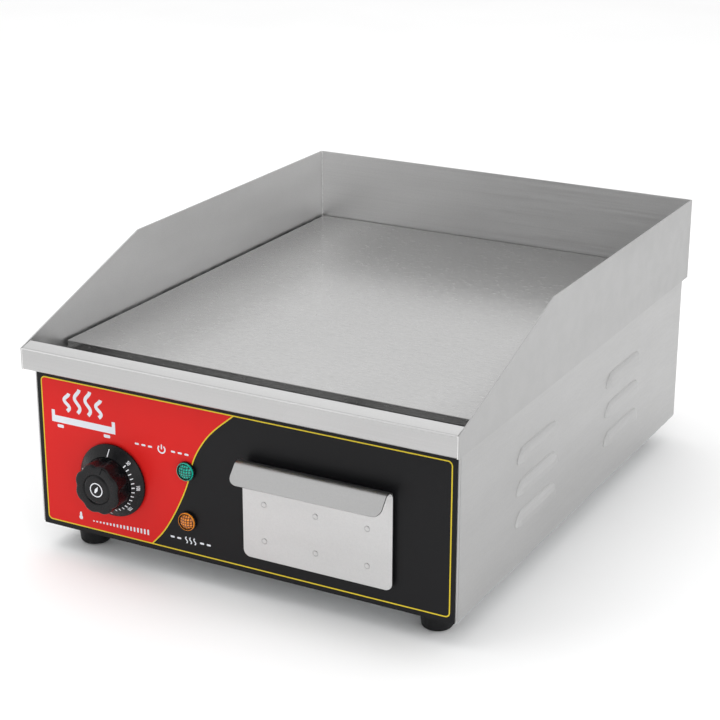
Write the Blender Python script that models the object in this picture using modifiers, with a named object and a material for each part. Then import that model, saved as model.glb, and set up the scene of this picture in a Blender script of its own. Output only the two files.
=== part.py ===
"""Countertop flat top griddle: a steel hot plate with splash guards on a sheet steel casing.

Metres, +Z up. The front faces -Y and X = 0 is the middle of the casing. The origin is on the surface
that the feet stand on, under the middle of the whole outline. Run: blender --background --python part.py
"""

import math

import bmesh
import bpy
from mathutils import Matrix, Vector

MM = 0.001

# ---------------------------------------------------------------- driving sizes
GAP = 0.3 * MM              # left between pieces that touch
SHEET = 1.0 * MM            # stainless sheet of the casing, guards and pans

CASE_WIDTH = 352 * MM
CASE_DEPTH = 443 * MM       # from the label's face to the casing's back
PANEL_HEIGHT = 127.8 * MM   # from the base plate's underside to the front panel's top
TOP_FLANGE = 12 * MM        # folded in along the top of the casing
BOTTOM_FLANGE = 42 * MM     # folded in along the bottom, wide enough for the feet's screws

GUARD_STAND = 3 * MM        # clear space between casing side and splash guard
GUARD_REAR_STAND = 0.8 * MM
GUARD_RISE = 61.3 * MM      # above the hot plate
CHAMFER_RUN = 154.4 * MM    # sloped front edge of the side guards, measured along Y

RAIL_STAND = 10.4 * MM      # rail's face in front of the label
RAIL_FACE = 16.8 * MM       # height of the rail's upright face
RAIL_TOP_DEPTH = 12.1 * MM
RAIL_BACK_LEG = 14 * MM
RAIL_BEND = 1.6 * MM

PLATE_THICKNESS = 6 * MM
PLATE_EDGE = 0.35 * MM      # chamfer along its edges
PLATE_FRONT = 42.1 * MM     # behind the label's face
PLATE_SIDE_GAP = 2.5 * MM   # between hot plate and side guard
PLATE_REAR_GAP = 1.2 * MM

TROUGH_DEPTH = 13 * MM      # floor below the support ring
TROUGH_LIP = 8 * MM         # rear flange under the hot plate
TROUGH_UPSTAND = 17 * MM    # front wall above the support ring, behind the rail
TROUGH_END_GAP = 1 * MM     # between trough end and casing side
RING_BORDER = 17 * MM       # width of the support ring at the sides and the back

SPOUT_OFFSET = -7.8 * MM    # from the drawer's middle
SPOUT_BACK = 21 * MM        # spout's axis behind the label's face
SPOUT_BORE = 9 * MM         # radius
SPOUT_LENGTH = 24 * MM
SPOUT_FLANGE = 3.5 * MM

LABEL_THICKNESS = 0.4 * MM
LABEL_INSET = 1.5 * MM      # label's edge inside the panel's edge
LABEL_BOTTOM = 1.5 * MM     # label's lower edge above the base plate's underside
PANEL_RETURN = 14 * MM      # front panel's side flanges
PANEL_RETURN_TOP = 18 * MM  # they stop this far below the panel's top

KNOB_X = -107.5 * MM
KNOB_Z = 50 * MM            # above the base plate's underside, as all heights on the panel
KNOB_SKIRT_R = 28.75 * MM
KNOB_SKIRT_REAR = 1.2 * MM
KNOB_SKIRT_EDGE = 1.6 * MM
KNOB_SKIRT_RISE = 5.6 * MM  # height of the cone that carries the scale
KNOB_GRIP_R = 20 * MM
KNOB_LOBES = 8
KNOB_LOBE_DEPTH = 1.3 * MM
KNOB_REACH = 23 * MM        # knob's face in front of the label
KNOB_WALL = 2 * MM
KNOB_BOSS_R = 6.5 * MM
BADGE_R = 11 * MM
BADGE_SINK = 1 * MM

SPINDLE_R = 3 * MM
SPINDLE_IN_KNOB = 12 * MM
SPINDLE_IN_STAT = 7 * MM
STAT_SIZE = (38 * MM, 30 * MM, 46 * MM)
STAT_SCREW_SPACING = 28 * MM
STAT_SCREW_R = 2 * MM
STAT_SCREW_LENGTH = 8 * MM

LAMP_X = -42.4 * MM
LAMP_HEIGHTS = {"power_lamp": 70.4 * MM, "hot_lamp": 30.6 * MM}
LAMP_BEZEL_R = 7.4 * MM
LAMP_BEZEL = 1.5 * MM
LAMP_BARREL_R = 5.8 * MM
LAMP_BARREL = 24 * MM
LAMP_LENS_R = 6.5 * MM
LAMP_LENS = 3.2 * MM
LAMP_HOLE_CLEAR = 0.4 * MM

DRAWER_SIDE_INSET = 47.95 * MM   # from the casing's right side to the drawer's face
DRAWER_FACE_WIDTH = 120.5 * MM
DRAWER_FACE_BOTTOM = 16 * MM
DRAWER_FACE_DROP = 41.8 * MM     # from the panel's top to where the face begins to curl
DRAWER_FACE_SHEET = 1.2 * MM
DRAWER_FACE_STAND = 3 * MM  # drawer's face in front of the label
DRAWER_CORNER_R = 5.5 * MM
LIP_BEND_R = 7 * MM
LIP_TURN = math.radians(139)
LIP_LENGTH = 14 * MM
LIP_CORNER_R = 5.5 * MM
OPENING_SIDE = 5.5 * MM     # drawer face beyond the opening, left and right
OPENING_BELOW = 4 * MM      # drawer face below the opening
OPENING_ABOVE = 4 * MM      # from the opening's top to where the face begins to curl
TRAY_CLEAR = 2 * MM         # between tray and opening
TRAY_RIM = 2.5 * MM         # tray's front wall beyond the opening
TRAY_DEPTH = 150 * MM
RUNNER_SHELF = 10 * MM
RUNNER_FOOT = 14 * MM
RUNNER_UPSTAND = 8 * MM
RUNNER_SIDE_CLEAR = 0.6 * MM

LOUVRE_LENGTH = 75 * MM
LOUVRE_HEIGHT = 11.3 * MM
LOUVRE_PROUD = 2.7 * MM
LOUVRE_END = 12 * MM        # length of its rounded end
LOUVRE_BOTTOMS = (33.4 * MM, 58.5 * MM, 83.5 * MM)
LOUVRE_CENTRES = (134.5 * MM, 308 * MM)   # behind the label's face
LOUVRE_SLIT = 0.3 * MM

FOOT_HEIGHT = 20 * MM
FOOT_TOP_R = 13.8 * MM
FOOT_BOTTOM_R = 11.7 * MM
FOOT_EDGE_R = 3 * MM
FOOT_SIDE_INSET = 28 * MM   # from the casing's side to the foot's axis
FOOT_END_INSET = 28 * MM    # from the label's face, or the casing's back
FOOT_SCREW_R = 2 * MM
FOOT_HEAD_R = 4.2 * MM
FOOT_HEAD = 3 * MM
FOOT_RECESS = 9 * MM

ELEMENT_R = 4 * MM
ELEMENT_PITCH = 40 * MM
ELEMENT_SIDE_CLEAR = 8 * MM # least space between the outer run and the shield
ELEMENT_FIRST = 0.625       # first run from the middle, in pitches
ELEMENT_FRONT = 84 * MM
ELEMENT_REAR_INSET = 36 * MM
ELEMENT_TAIL = 45 * MM
CLAMP_WIDTH = 20 * MM
CLAMP_THICKNESS = 3 * MM
CLAMP_OVERLAP = 6 * MM
CLAMP_PLACES = {"front": 0.25, "rear": 0.75}   # share of the run between element front and rear
STUD_R = 4 * MM
STUD_TAIL = 2 * MM
NUT_ACROSS_FLATS = 13 * MM
NUT_HEIGHT = 6.5 * MM

SHIELD_DEPTH = 34 * MM
SHIELD_FLANGE = 14 * MM
SHIELD_FRONT = 66 * MM
SHIELD_REAR_INSET = 18 * MM
BLANKET_THICKNESS = 14 * MM
TAIL_HOLE_CLEAR = 1.5 * MM

BULB_R = 3 * MM
BULB_LENGTH = 90 * MM
CAPILLARY_R = 1 * MM
CAPILLARY_HOLE_R = 5 * MM

GLAND_X = 120 * MM
GLAND_Z = 45 * MM
GLAND_BORE_R = 4.2 * MM
GLAND_THREAD_R = 8 * MM
GLAND_THREAD = 11 * MM
GLAND_ACROSS_FLATS = 24 * MM
GLAND_HEX = 6 * MM
GLAND_DOME_R = 10 * MM
GLAND_DOME = 12 * MM
LOCKNUT = 5 * MM

BLOCK_SIZE = (46 * MM, 22 * MM, 18 * MM)
BLOCK_REAR_INSET = 46 * MM
WIRE_R = 1.25 * MM
VENT_ROWS = 2
VENTS_PER_ROW = 6
VENT_LENGTH = 70 * MM
VENT_WIDTH = 5 * MM
VENT_PITCH = 14 * MM

# ---------------------------------------------------------------- levels and edges that follow
HALF_CASE = CASE_WIDTH / 2
GUARD_INNER = HALF_CASE + GUARD_STAND
LIP_REACH = (DRAWER_FACE_STAND + LIP_BEND_R * (1 - math.cos(LIP_TURN))
             + LIP_LENGTH * math.sin(LIP_TURN))
FRONT_REACH = max(LIP_REACH, KNOB_REACH, RAIL_STAND)
GLAND_REACH = GAP + GLAND_HEX + GLAND_DOME
FRONT_Y = (FRONT_REACH - CASE_DEPTH - GLAND_REACH) / 2     # the label's face
BACK_Y = FRONT_Y + CASE_DEPTH                              # the casing's back

Z_BASE = FOOT_HEIGHT
Z_WALL = Z_BASE + SHEET + GAP
Z_CASE_TOP = Z_BASE + PANEL_HEIGHT
Z_RING = Z_CASE_TOP + GAP
Z_PLATE = Z_RING + SHEET + GAP
Z_PLATE_TOP = Z_PLATE + PLATE_THICKNESS
Z_GUARD_TOP = Z_PLATE_TOP + GUARD_RISE
Z_RAIL_EDGE = Z_RING + RAIL_FACE
RAIL_Y = FRONT_Y - RAIL_STAND
CHAMFER_SLOPE = (Z_GUARD_TOP - Z_RAIL_EDGE) / CHAMFER_RUN
PANEL_Y = FRONT_Y + LABEL_THICKNESS + GAP                  # front panel's steel face
PANEL_BACK = PANEL_Y + SHEET
TROUGH_Y = PANEL_BACK + GAP
PLATE_Y = FRONT_Y + PLATE_FRONT
RING_Y = PLATE_Y + TROUGH_LIP + GAP
GUARD_BACK_Y = BACK_Y + GUARD_REAR_STAND                   # rear guard's inner face
TROUGH_HALF = HALF_CASE - SHEET - TROUGH_END_GAP
Z_TROUGH_FLOOR = Z_RING - TROUGH_DEPTH
Z_ELEMENT = Z_PLATE - GAP - ELEMENT_R
Z_CLAMP = Z_ELEMENT - ELEMENT_R - GAP - CLAMP_THICKNESS
Z_SHIELD_FLANGE = Z_CASE_TOP - 2 * SHEET - GAP
Z_SHIELD = Z_SHIELD_FLANGE + SHEET - SHIELD_DEPTH
SHIELD_HALF = HALF_CASE - SHEET - 2 * GAP - SHIELD_FLANGE
ELEMENT_REAR = CASE_DEPTH - ELEMENT_REAR_INSET
ELEMENT_ROOM = SHIELD_HALF - SHEET - ELEMENT_SIDE_CLEAR - ELEMENT_R
ELEMENT_RUNS = 2 * int((ELEMENT_ROOM / ELEMENT_PITCH - ELEMENT_FIRST + 1) / 2)
KNOB_CONE_TOP = KNOB_SKIRT_REAR + KNOB_SKIRT_EDGE + KNOB_SKIRT_RISE
DRAWER_X = HALF_CASE - DRAWER_SIDE_INSET - DRAWER_FACE_WIDTH / 2
DRAWER_FACE_TOP = PANEL_HEIGHT - DRAWER_FACE_DROP
OPENING_BOTTOM = DRAWER_FACE_BOTTOM + OPENING_BELOW
OPENING_TOP = DRAWER_FACE_TOP - OPENING_ABOVE
SPOUT_X = DRAWER_X + SPOUT_OFFSET
OPENING_X = (DRAWER_X - DRAWER_FACE_WIDTH / 2 + OPENING_SIDE,
             DRAWER_X + DRAWER_FACE_WIDTH / 2 - OPENING_SIDE)
TRAY_X = (OPENING_X[0] + TRAY_CLEAR, OPENING_X[1] - TRAY_CLEAR)
TRAY_Z = (Z_BASE + OPENING_BOTTOM + TRAY_CLEAR, Z_BASE + OPENING_TOP - TRAY_CLEAR)

TOWARDS_FRONT = (math.pi / 2, 0, 0)     # turns local +Z to -Y
TOWARDS_BACK = (-math.pi / 2, 0, 0)     # turns local +Z to +Y

# ---------------------------------------------------------------- scene, collections, materials
for old in list(bpy.data.objects):
    bpy.data.objects.remove(old)
PARTS = bpy.data.collections.new("flat_top_griddle")
CUTTERS = bpy.data.collections.new("cutters")
for group in (PARTS, CUTTERS):
    bpy.context.scene.collection.children.link(group)

# name: base colour, roughness, metallic
FINISHES = {
    "stainless": ((0.62, 0.61, 0.60), 0.38, 1.0),
    "griddle_steel": ((0.50, 0.50, 0.49), 0.42, 1.0),
    "galvanised": ((0.52, 0.54, 0.56), 0.50, 1.0),
    "zinc_fastener": ((0.66, 0.67, 0.68), 0.35, 1.0),
    "element_sheath": ((0.16, 0.15, 0.14), 0.55, 1.0),
    "copper": ((0.72, 0.40, 0.28), 0.35, 1.0),
    "label": ((0.72, 0.03, 0.025), 0.30, 0.0),
    "black_plastic": ((0.02, 0.02, 0.022), 0.35, 0.0),
    "badge": ((0.03, 0.03, 0.032), 0.30, 0.0),
    "green_lens": ((0.02, 0.30, 0.20), 0.15, 0.0),
    "amber_lens": ((0.75, 0.28, 0.04), 0.15, 0.0),
    "rubber": ((0.015, 0.015, 0.016), 0.65, 0.0),
    "ceramic_fibre": ((0.85, 0.84, 0.80), 0.95, 0.0),
    "white_plastic": ((0.80, 0.79, 0.76), 0.45, 0.0),
    "wire": ((0.45, 0.10, 0.06), 0.50, 0.0),
}


def make_material(name, colour, roughness, metallic):
    material = bpy.data.materials.new(name)
    material.use_nodes = True
    shader = material.node_tree.nodes["Principled BSDF"]
    shader.inputs["Base Color"].default_value = (*colour, 1)
    shader.inputs["Roughness"].default_value = roughness
    shader.inputs["Metallic"].default_value = metallic
    return material


MATERIALS = {name: make_material(name, *finish) for name, finish in FINISHES.items()}

# ---------------------------------------------------------------- building blocks


def place(name, data, finish, location=(0, 0, 0), rotation=(0, 0, 0), cutter=False):
    """Links a new object into the parts, or into the cutters."""
    obj = bpy.data.objects.new(name, data)
    obj.location = location
    obj.rotation_euler = rotation
    if cutter:
        obj.hide_render = True
        obj.display_type = "WIRE"
        CUTTERS.objects.link(obj)
    else:
        data.materials.append(MATERIALS[finish])
        PARTS.objects.link(obj)
    return obj


def mesh_of(name, bm):
    mesh = bpy.data.meshes.new(name)
    bm.to_mesh(mesh)
    bm.free()
    return mesh


def box(name, low, high, finish=None, cutter=False):
    """A block between two corners, placed by its centre."""
    low, high = Vector(low), Vector(high)
    bm = bmesh.new()
    bmesh.ops.create_cube(bm, size=1, matrix=Matrix.Diagonal((*(high - low), 1)))
    return place(name, mesh_of(name, bm), finish, (low + high) / 2, cutter=cutter)


def boxes(name, corners):
    """Several blocks that don't touch, as one cutter."""
    bm = bmesh.new()
    for low, high in corners:
        low, high = Vector(low), Vector(high)
        shape = Matrix.Translation((low + high) / 2) @ Matrix.Diagonal((*(high - low), 1))
        bmesh.ops.create_cube(bm, size=1, matrix=shape)
    return place(name, mesh_of(name, bm), None, cutter=True)


def rod(name, radius, length, location, rotation, finish=None, cutter=False, segments=24):
    """A cylinder, or a hexagon with six segments, that runs from its location along local +Z."""
    bm = bmesh.new()
    bmesh.ops.create_cone(bm, cap_ends=True, segments=segments, radius1=radius, radius2=radius,
                          depth=length, matrix=Matrix.Translation((0, 0, length / 2)))
    obj = place(name, mesh_of(name, bm), finish, location, rotation, cutter)
    if segments > 6:
        obj.data.shade_smooth()
        obj.data.set_sharp_from_angle(angle=math.radians(35))
    return obj


def rods(name, radius, length, locations, rotation, segments=16):
    """Several equal cylinders as one cutter."""
    turn = Matrix.Rotation(rotation[0], 4, "X")
    bm = bmesh.new()
    for place_at in locations:
        shape = Matrix.Translation(place_at) @ turn @ Matrix.Translation((0, 0, length / 2))
        bmesh.ops.create_cone(bm, cap_ends=True, segments=segments, radius1=radius,
                              radius2=radius, depth=length, matrix=shape)
    return place(name, mesh_of(name, bm), None, cutter=True)


def turned(name, profile, finish, location=(0, 0, 0), rotation=(0, 0, 0), segments=32,
           closed=False):
    """A profile of (radius, height) turned about local Z. It runs down the outer side."""
    bm = bmesh.new()
    verts = [bm.verts.new((radius, 0, height)) for radius, height in profile]
    for a, b in zip(verts, verts[1:]):
        bm.edges.new((a, b))
    if closed:
        bm.edges.new((verts[-1], verts[0]))
    obj = place(name, mesh_of(name, bm), finish, location, rotation)
    screw = obj.modifiers.new("turn", "SCREW")
    screw.axis = "Z"
    screw.steps = screw.render_steps = segments
    screw.use_merge_vertices = True
    screw.merge_threshold = 0.00002
    screw.use_smooth_shade = True
    return obj


def combine(obj, tool, operation="DIFFERENCE"):
    """Cuts the tool from the object, or joins it with UNION."""
    boolean = obj.modifiers.new(operation.lower(), "BOOLEAN")
    boolean.operation = operation
    boolean.object = tool
    return obj


def arc(centre, radius, start, end, steps):
    """Points of a round stretch, angles in radians."""
    angles = [start + (end - start) * i / steps for i in range(steps + 1)]
    return [(centre[0] + radius * math.cos(a), centre[1] + radius * math.sin(a)) for a in angles]


def rounded(points, radius, steps=3):
    """A path with each inner corner replaced by a round bend."""
    path = [points[0]]
    for before, corner, after in zip(points, points[1:], points[2:]):
        corner = Vector(corner)
        inward = (Vector(before) - corner).normalized()
        outward = (Vector(after) - corner).normalized()
        half = inward.angle(outward) / 2
        centre = corner + (inward + outward).normalized() * radius / math.sin(half)
        spoke = corner + inward * radius / math.tan(half) - centre
        sweep = math.pi - 2 * half
        if inward.cross(outward) < 0:
            sweep = -sweep
        first = math.atan2(spoke.y, spoke.x)
        path += arc(centre, radius, first, first - sweep, steps)
    path.append(points[-1])
    return path


def bent_sheet(name, rows, thickness, finish, side):
    """A folded sheet through rows of (left x, right x, y, z); side says where it thickens."""
    bm = bmesh.new()
    pairs = [(bm.verts.new((x0, y, z)), bm.verts.new((x1, y, z))) for x0, x1, y, z in rows]
    for (a, b), (c, d) in zip(pairs, pairs[1:]):
        bm.faces.new((a, b, d, c))
    obj = place(name, mesh_of(name, bm), finish)
    solid = obj.modifiers.new("sheet", "SOLIDIFY")
    solid.thickness = thickness
    solid.offset = side
    solid.use_even_offset = True
    return obj


def folded(name, path, left, right, thickness, finish, side):
    """A sheet folded along X through a path of (y, z)."""
    return bent_sheet(name, [(left, right, y, z) for y, z in path], thickness, finish, side)


def flat_outline(name, outline, thickness, finish, location, rotation):
    """A flat outline made as a filled 2D curve, centred on its thickness."""
    curve = bpy.data.curves.new(name, "CURVE")
    curve.dimensions = "2D"
    curve.fill_mode = "BOTH"
    curve.extrude = thickness / 2
    spline = curve.splines.new("POLY")
    spline.points.add(len(outline) - 1)
    for point, (x, y) in zip(spline.points, outline):
        point.co = (x, y, 0, 1)
    spline.use_cyclic_u = True
    return place(name, curve, finish, location, rotation)


def smooth_path(points, samples):
    """Catmull-Rom points through the route's own points."""
    ends = [2 * Vector(points[0]) - Vector(points[1]), 2 * Vector(points[-1]) - Vector(points[-2])]
    route = [ends[0], *[Vector(p) for p in points], ends[1]]
    path = []
    for p0, p1, p2, p3 in zip(route, route[1:], route[2:], route[3:]):
        for i in range(samples):
            t = i / samples
            path.append(0.5 * (2 * p1 + (p2 - p0) * t + (2 * p0 - 5 * p1 + 4 * p2 - p3) * t * t
                               + (3 * p1 - p0 - 3 * p2 + p3) * t ** 3))
    path.append(route[-2])
    return path


def tube(name, points, radius, finish, radii=None):
    """A round bar or wire through its points; radii scale it point by point."""
    curve = bpy.data.curves.new(name, "CURVE")
    curve.dimensions = "3D"
    curve.bevel_depth = radius
    curve.bevel_resolution = 2
    curve.use_fill_caps = True
    spline = curve.splines.new("POLY")
    spline.points.add(len(points) - 1)
    for i, (point, co) in enumerate(zip(spline.points, points)):
        point.co = (*co, 1)
        point.radius = radii[i] if radii else 1
    return place(name, curve, finish)


def as_mesh(obj):
    """The object with its curve turned into a closed mesh, so that it can be cut."""
    bpy.context.view_layer.update()
    evaluated = obj.evaluated_get(bpy.context.evaluated_depsgraph_get())
    mesh = bpy.data.meshes.new_from_object(evaluated)
    bm = bmesh.new()
    bm.from_mesh(mesh)
    bmesh.ops.remove_doubles(bm, verts=bm.verts, dist=0.00001)
    bm.to_mesh(mesh)
    bm.free()
    name, world, hidden = obj.name, obj.matrix_world.copy(), obj.display_type == "WIRE"
    bpy.data.objects.remove(obj)
    solid = bpy.data.objects.new(name, mesh)
    solid.matrix_world = world
    (CUTTERS if hidden else PARTS).objects.link(solid)
    return solid


# ---------------------------------------------------------------- casing


def louvre_block(bm, side, centre_y, bottom, length, height, proud, foot, depth_in):
    """One pressed louvre as a closed block: round ended, proud at its lower edge, flush at its top."""
    along, up = 10, 4
    wall = side * HALF_CASE
    front = []
    for i in range(along + 1):
        y = -length / 2 + length * (1 - math.cos(math.pi * i / along)) / 2
        end = min(1, (length / 2 - abs(y)) / LOUVRE_END)
        round_end = math.sqrt(max(0, 1 - (1 - end) ** 2))
        column = []
        for j in range(up + 1):
            rise = math.sin(math.pi / 2 * j / up)
            top = max(round_end, 0.12) * height
            swell = proud * max(round_end, 0.12) * math.sqrt(max(0, 1 - rise ** 2))
            z = bottom - foot if j == 0 else bottom + top * rise
            column.append(bm.verts.new((wall + side * swell, centre_y + y, z)))
        front.append(column)
    back = [[bm.verts.new((wall - side * depth_in, v.co.y, v.co.z)) for v in column]
            for column in front]
    faces = []
    for i in range(along):
        for j in range(up):
            faces.append((front[i][j], front[i + 1][j], front[i + 1][j + 1], front[i][j + 1]))
            faces.append((back[i][j + 1], back[i + 1][j + 1], back[i + 1][j], back[i][j]))
        faces.append((front[i][0], back[i][0], back[i + 1][0], front[i + 1][0]))
        faces.append((front[i][up], front[i + 1][up], back[i + 1][up], back[i][up]))
    for j in range(up):
        faces.append((front[0][j], front[0][j + 1], back[0][j + 1], back[0][j]))
        faces.append((front[along][j + 1], front[along][j], back[along][j], back[along][j + 1]))
    for corners in faces:
        bm.faces.new(corners)


def louvre_tool(name, side, length, height, proud, foot, depth_in):
    bm = bmesh.new()
    for centre in LOUVRE_CENTRES:
        for bottom in LOUVRE_BOTTOMS:
            louvre_block(bm, side, FRONT_Y + centre, Z_BASE + bottom, length, height, proud,
                         foot, depth_in)
    bmesh.ops.recalc_face_normals(bm, faces=bm.faces)
    return place(name, mesh_of(name, bm), None, cutter=True)


def make_body_shell():
    """Left side, back and right side in one folded sheet, with flanges along top and bottom."""
    far = 1.0
    inner = HALF_CASE - SHEET
    shell = box("body_shell", (-HALF_CASE, PANEL_BACK + GAP, Z_WALL),
                (HALF_CASE, BACK_Y, Z_CASE_TOP), "stainless")
    combine(shell, box("body_hollow", (-inner, -far, Z_WALL + SHEET),
                       (inner, BACK_Y - SHEET, Z_CASE_TOP - SHEET), cutter=True))
    combine(shell, box("body_top_opening", (-inner + TOP_FLANGE, -far, Z_CASE_TOP - 2 * SHEET),
                       (inner - TOP_FLANGE, BACK_Y - SHEET - TOP_FLANGE, Z_CASE_TOP + SHEET),
                       cutter=True))
    combine(shell, box("body_trough_relief", (-inner, -far, Z_CASE_TOP - 2 * SHEET),
                       (inner, PLATE_Y + SHEET, Z_CASE_TOP + SHEET), cutter=True))
    combine(shell, box("body_bottom_opening", (-inner + BOTTOM_FLANGE, -far, Z_WALL - SHEET),
                       (inner - BOTTOM_FLANGE, BACK_Y - SHEET - BOTTOM_FLANGE,
                        Z_WALL + 2 * SHEET), cutter=True))
    combine(shell, box("body_return_relief", (-inner, -far, Z_WALL - SHEET),
                       (inner, PANEL_BACK + 2 * GAP, Z_WALL + 2 * SHEET), cutter=True))
    for side, word in ((-1, "left"), (1, "right")):
        combine(shell, louvre_tool(f"louvres_{word}", side, LOUVRE_LENGTH, LOUVRE_HEIGHT,
                                   LOUVRE_PROUD, 0, SHEET / 2), "UNION")
        combine(shell, louvre_tool(f"louvre_hollows_{word}", side, LOUVRE_LENGTH - 2 * SHEET,
                                   LOUVRE_HEIGHT - SHEET, LOUVRE_PROUD - SHEET, LOUVRE_SLIT,
                                   3 * SHEET))
    combine(shell, rods("body_screw_holes", FOOT_SCREW_R + GAP, 4 * SHEET,
                        [(x, y, Z_WALL - SHEET) for x, y in foot_places().values()], (0, 0, 0)))
    combine(shell, rod("gland_hole", GLAND_THREAD_R + GAP, 4 * SHEET,
                       (GLAND_X, BACK_Y - 2 * SHEET, Z_BASE + GLAND_Z), TOWARDS_BACK,
                       cutter=True))


def panel_holes(name, clear, front, back):
    """Cutters through the front panel or the label: drawer opening, lamps, spindle, screws."""
    opening = box(f"{name}_opening",
                  (OPENING_X[0] - clear, front, Z_BASE + OPENING_BOTTOM - clear),
                  (OPENING_X[1] + clear, back, Z_BASE + OPENING_TOP + clear), cutter=True)
    lamps = rods(f"{name}_lamp_holes", LAMP_BARREL_R + LAMP_HOLE_CLEAR + clear, back - front,
                 [(LAMP_X, front, Z_BASE + z) for z in LAMP_HEIGHTS.values()], TOWARDS_BACK, 24)
    spindle = rods(f"{name}_spindle_hole", SPINDLE_R + 1.5 * MM + clear, back - front,
                   [(KNOB_X, front, Z_BASE + KNOB_Z)], TOWARDS_BACK, 20)
    screws = rods(f"{name}_screw_holes", STAT_SCREW_R + GAP + clear, back - front,
                  [(KNOB_X, front, z) for z in stat_screw_heights()], TOWARDS_BACK, 12)
    return opening, lamps, spindle, screws


def make_front():
    """Front panel with its side flanges, and the printed label on its face."""
    panel = box("front_panel", (-HALF_CASE, PANEL_Y, Z_WALL), (HALF_CASE, PANEL_BACK, Z_CASE_TOP),
                "stainless")
    inner = HALF_CASE - SHEET - GAP
    for side, word in ((-1, "left"), (1, "right")):
        edges = sorted((side * inner, side * (inner - SHEET)))
        combine(panel, box(f"panel_return_{word}", (edges[0], PANEL_Y + SHEET / 2, Z_WALL + 2 * SHEET),
                           (edges[1], PANEL_Y + PANEL_RETURN, Z_CASE_TOP - PANEL_RETURN_TOP),
                           cutter=True), "UNION")
    for tool in panel_holes("panel", 0, PANEL_Y - SHEET, PANEL_BACK + SHEET):
        combine(panel, tool)
    label = box("panel_label", (-HALF_CASE + LABEL_INSET, FRONT_Y, Z_BASE + LABEL_BOTTOM),
                (HALF_CASE - LABEL_INSET, FRONT_Y + LABEL_THICKNESS, Z_CASE_TOP), "label")
    for tool in panel_holes("label", GAP, FRONT_Y - SHEET, FRONT_Y + SHEET):
        combine(label, tool)


def foot_places():
    x = HALF_CASE - FOOT_SIDE_INSET
    front, rear = FRONT_Y + FOOT_END_INSET, BACK_Y - FOOT_END_INSET
    return {"front_left": (-x, front), "front_right": (x, front),
            "rear_left": (-x, rear), "rear_right": (x, rear)}


def make_base():
    """Base plate with ventilation slots, four rubber feet and the screws that hold them."""
    edge = SHEET / 2
    base = box("base_plate", (-HALF_CASE + edge, PANEL_Y + edge, Z_BASE),
               (HALF_CASE - edge, BACK_Y - edge, Z_BASE + SHEET), "galvanised")
    slots = []
    for row in range(VENT_ROWS):
        centre_x = (row - (VENT_ROWS - 1) / 2) * (VENT_LENGTH + VENT_PITCH)
        for i in range(VENTS_PER_ROW):
            y = FRONT_Y + CASE_DEPTH * 0.62 + (i - (VENTS_PER_ROW - 1) / 2) * VENT_PITCH
            slots.append(((centre_x - VENT_LENGTH / 2, y - VENT_WIDTH / 2, Z_BASE - SHEET),
                          (centre_x + VENT_LENGTH / 2, y + VENT_WIDTH / 2, Z_BASE + 2 * SHEET)))
    combine(base, boxes("base_vents", slots))
    combine(base, rods("base_screw_holes", FOOT_SCREW_R + GAP, 3 * SHEET,
                       [(x, y, Z_BASE - SHEET) for x, y in foot_places().values()], (0, 0, 0)))
    bore = FOOT_SCREW_R + GAP
    recess = FOOT_HEAD_R + 2 * GAP
    top = FOOT_HEIGHT - GAP
    edge_arc = arc((FOOT_BOTTOM_R - FOOT_EDGE_R, FOOT_EDGE_R), FOOT_EDGE_R, 0, -math.pi / 2, 3)
    foot = [(FOOT_TOP_R, top), *edge_arc, (recess, 0), (recess, FOOT_RECESS),
            (bore, FOOT_RECESS), (bore, top)]
    head_top = FOOT_RECESS - GAP
    tip = Z_WALL + 4 * SHEET
    screw = [(0, tip), (FOOT_SCREW_R, tip), (FOOT_SCREW_R, head_top), (FOOT_HEAD_R, head_top),
             (FOOT_HEAD_R, head_top - FOOT_HEAD / 2), (FOOT_HEAD_R * 0.7, head_top - FOOT_HEAD),
             (0, head_top - FOOT_HEAD)]
    for corner, (x, y) in foot_places().items():
        turned(f"foot_{corner}", foot, "rubber", (x, y, 0), segments=24, closed=True)
        turned(f"foot_screw_{corner}", screw, "zinc_fastener", (x, y, 0), segments=12)


# ---------------------------------------------------------------- top: guards, rail, trough, plate


def make_guards():
    """Two side guards with a sloped front edge and the rear guard between them."""
    front, rear = RAIL_Y, GUARD_BACK_Y + SHEET
    outline = [(front, Z_RING), (rear, Z_RING), (rear, Z_GUARD_TOP),
               (front + CHAMFER_RUN, Z_GUARD_TOP), (front, Z_RAIL_EDGE)]
    for side, word in ((-1, "left"), (1, "right")):
        middle = side * (GUARD_INNER + SHEET / 2)
        flat_outline(f"guard_{word}", outline, SHEET, "stainless", (middle, 0, 0),
                     (math.pi / 2, 0, math.pi / 2))
    box("guard_rear", (-GUARD_INNER + GAP, GUARD_BACK_Y, Z_RING),
        (GUARD_INNER - GAP, GUARD_BACK_Y + SHEET, Z_GUARD_TOP), "stainless")


def make_drip_rail():
    """Hollow front rail: return under, upright face, sloped top and a leg down into the trough."""
    top_back = (RAIL_Y + RAIL_TOP_DEPTH, Z_RAIL_EDGE + CHAMFER_SLOPE * RAIL_TOP_DEPTH)
    path = rounded([(FRONT_Y - SHEET, Z_RING), (RAIL_Y, Z_RING), (RAIL_Y, Z_RAIL_EDGE),
                    top_back, (top_back[0], top_back[1] - RAIL_BACK_LEG)], RAIL_BEND)
    folded("drip_rail", path, -GUARD_INNER + GAP, GUARD_INNER - GAP, SHEET, "stainless", -1)


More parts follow.
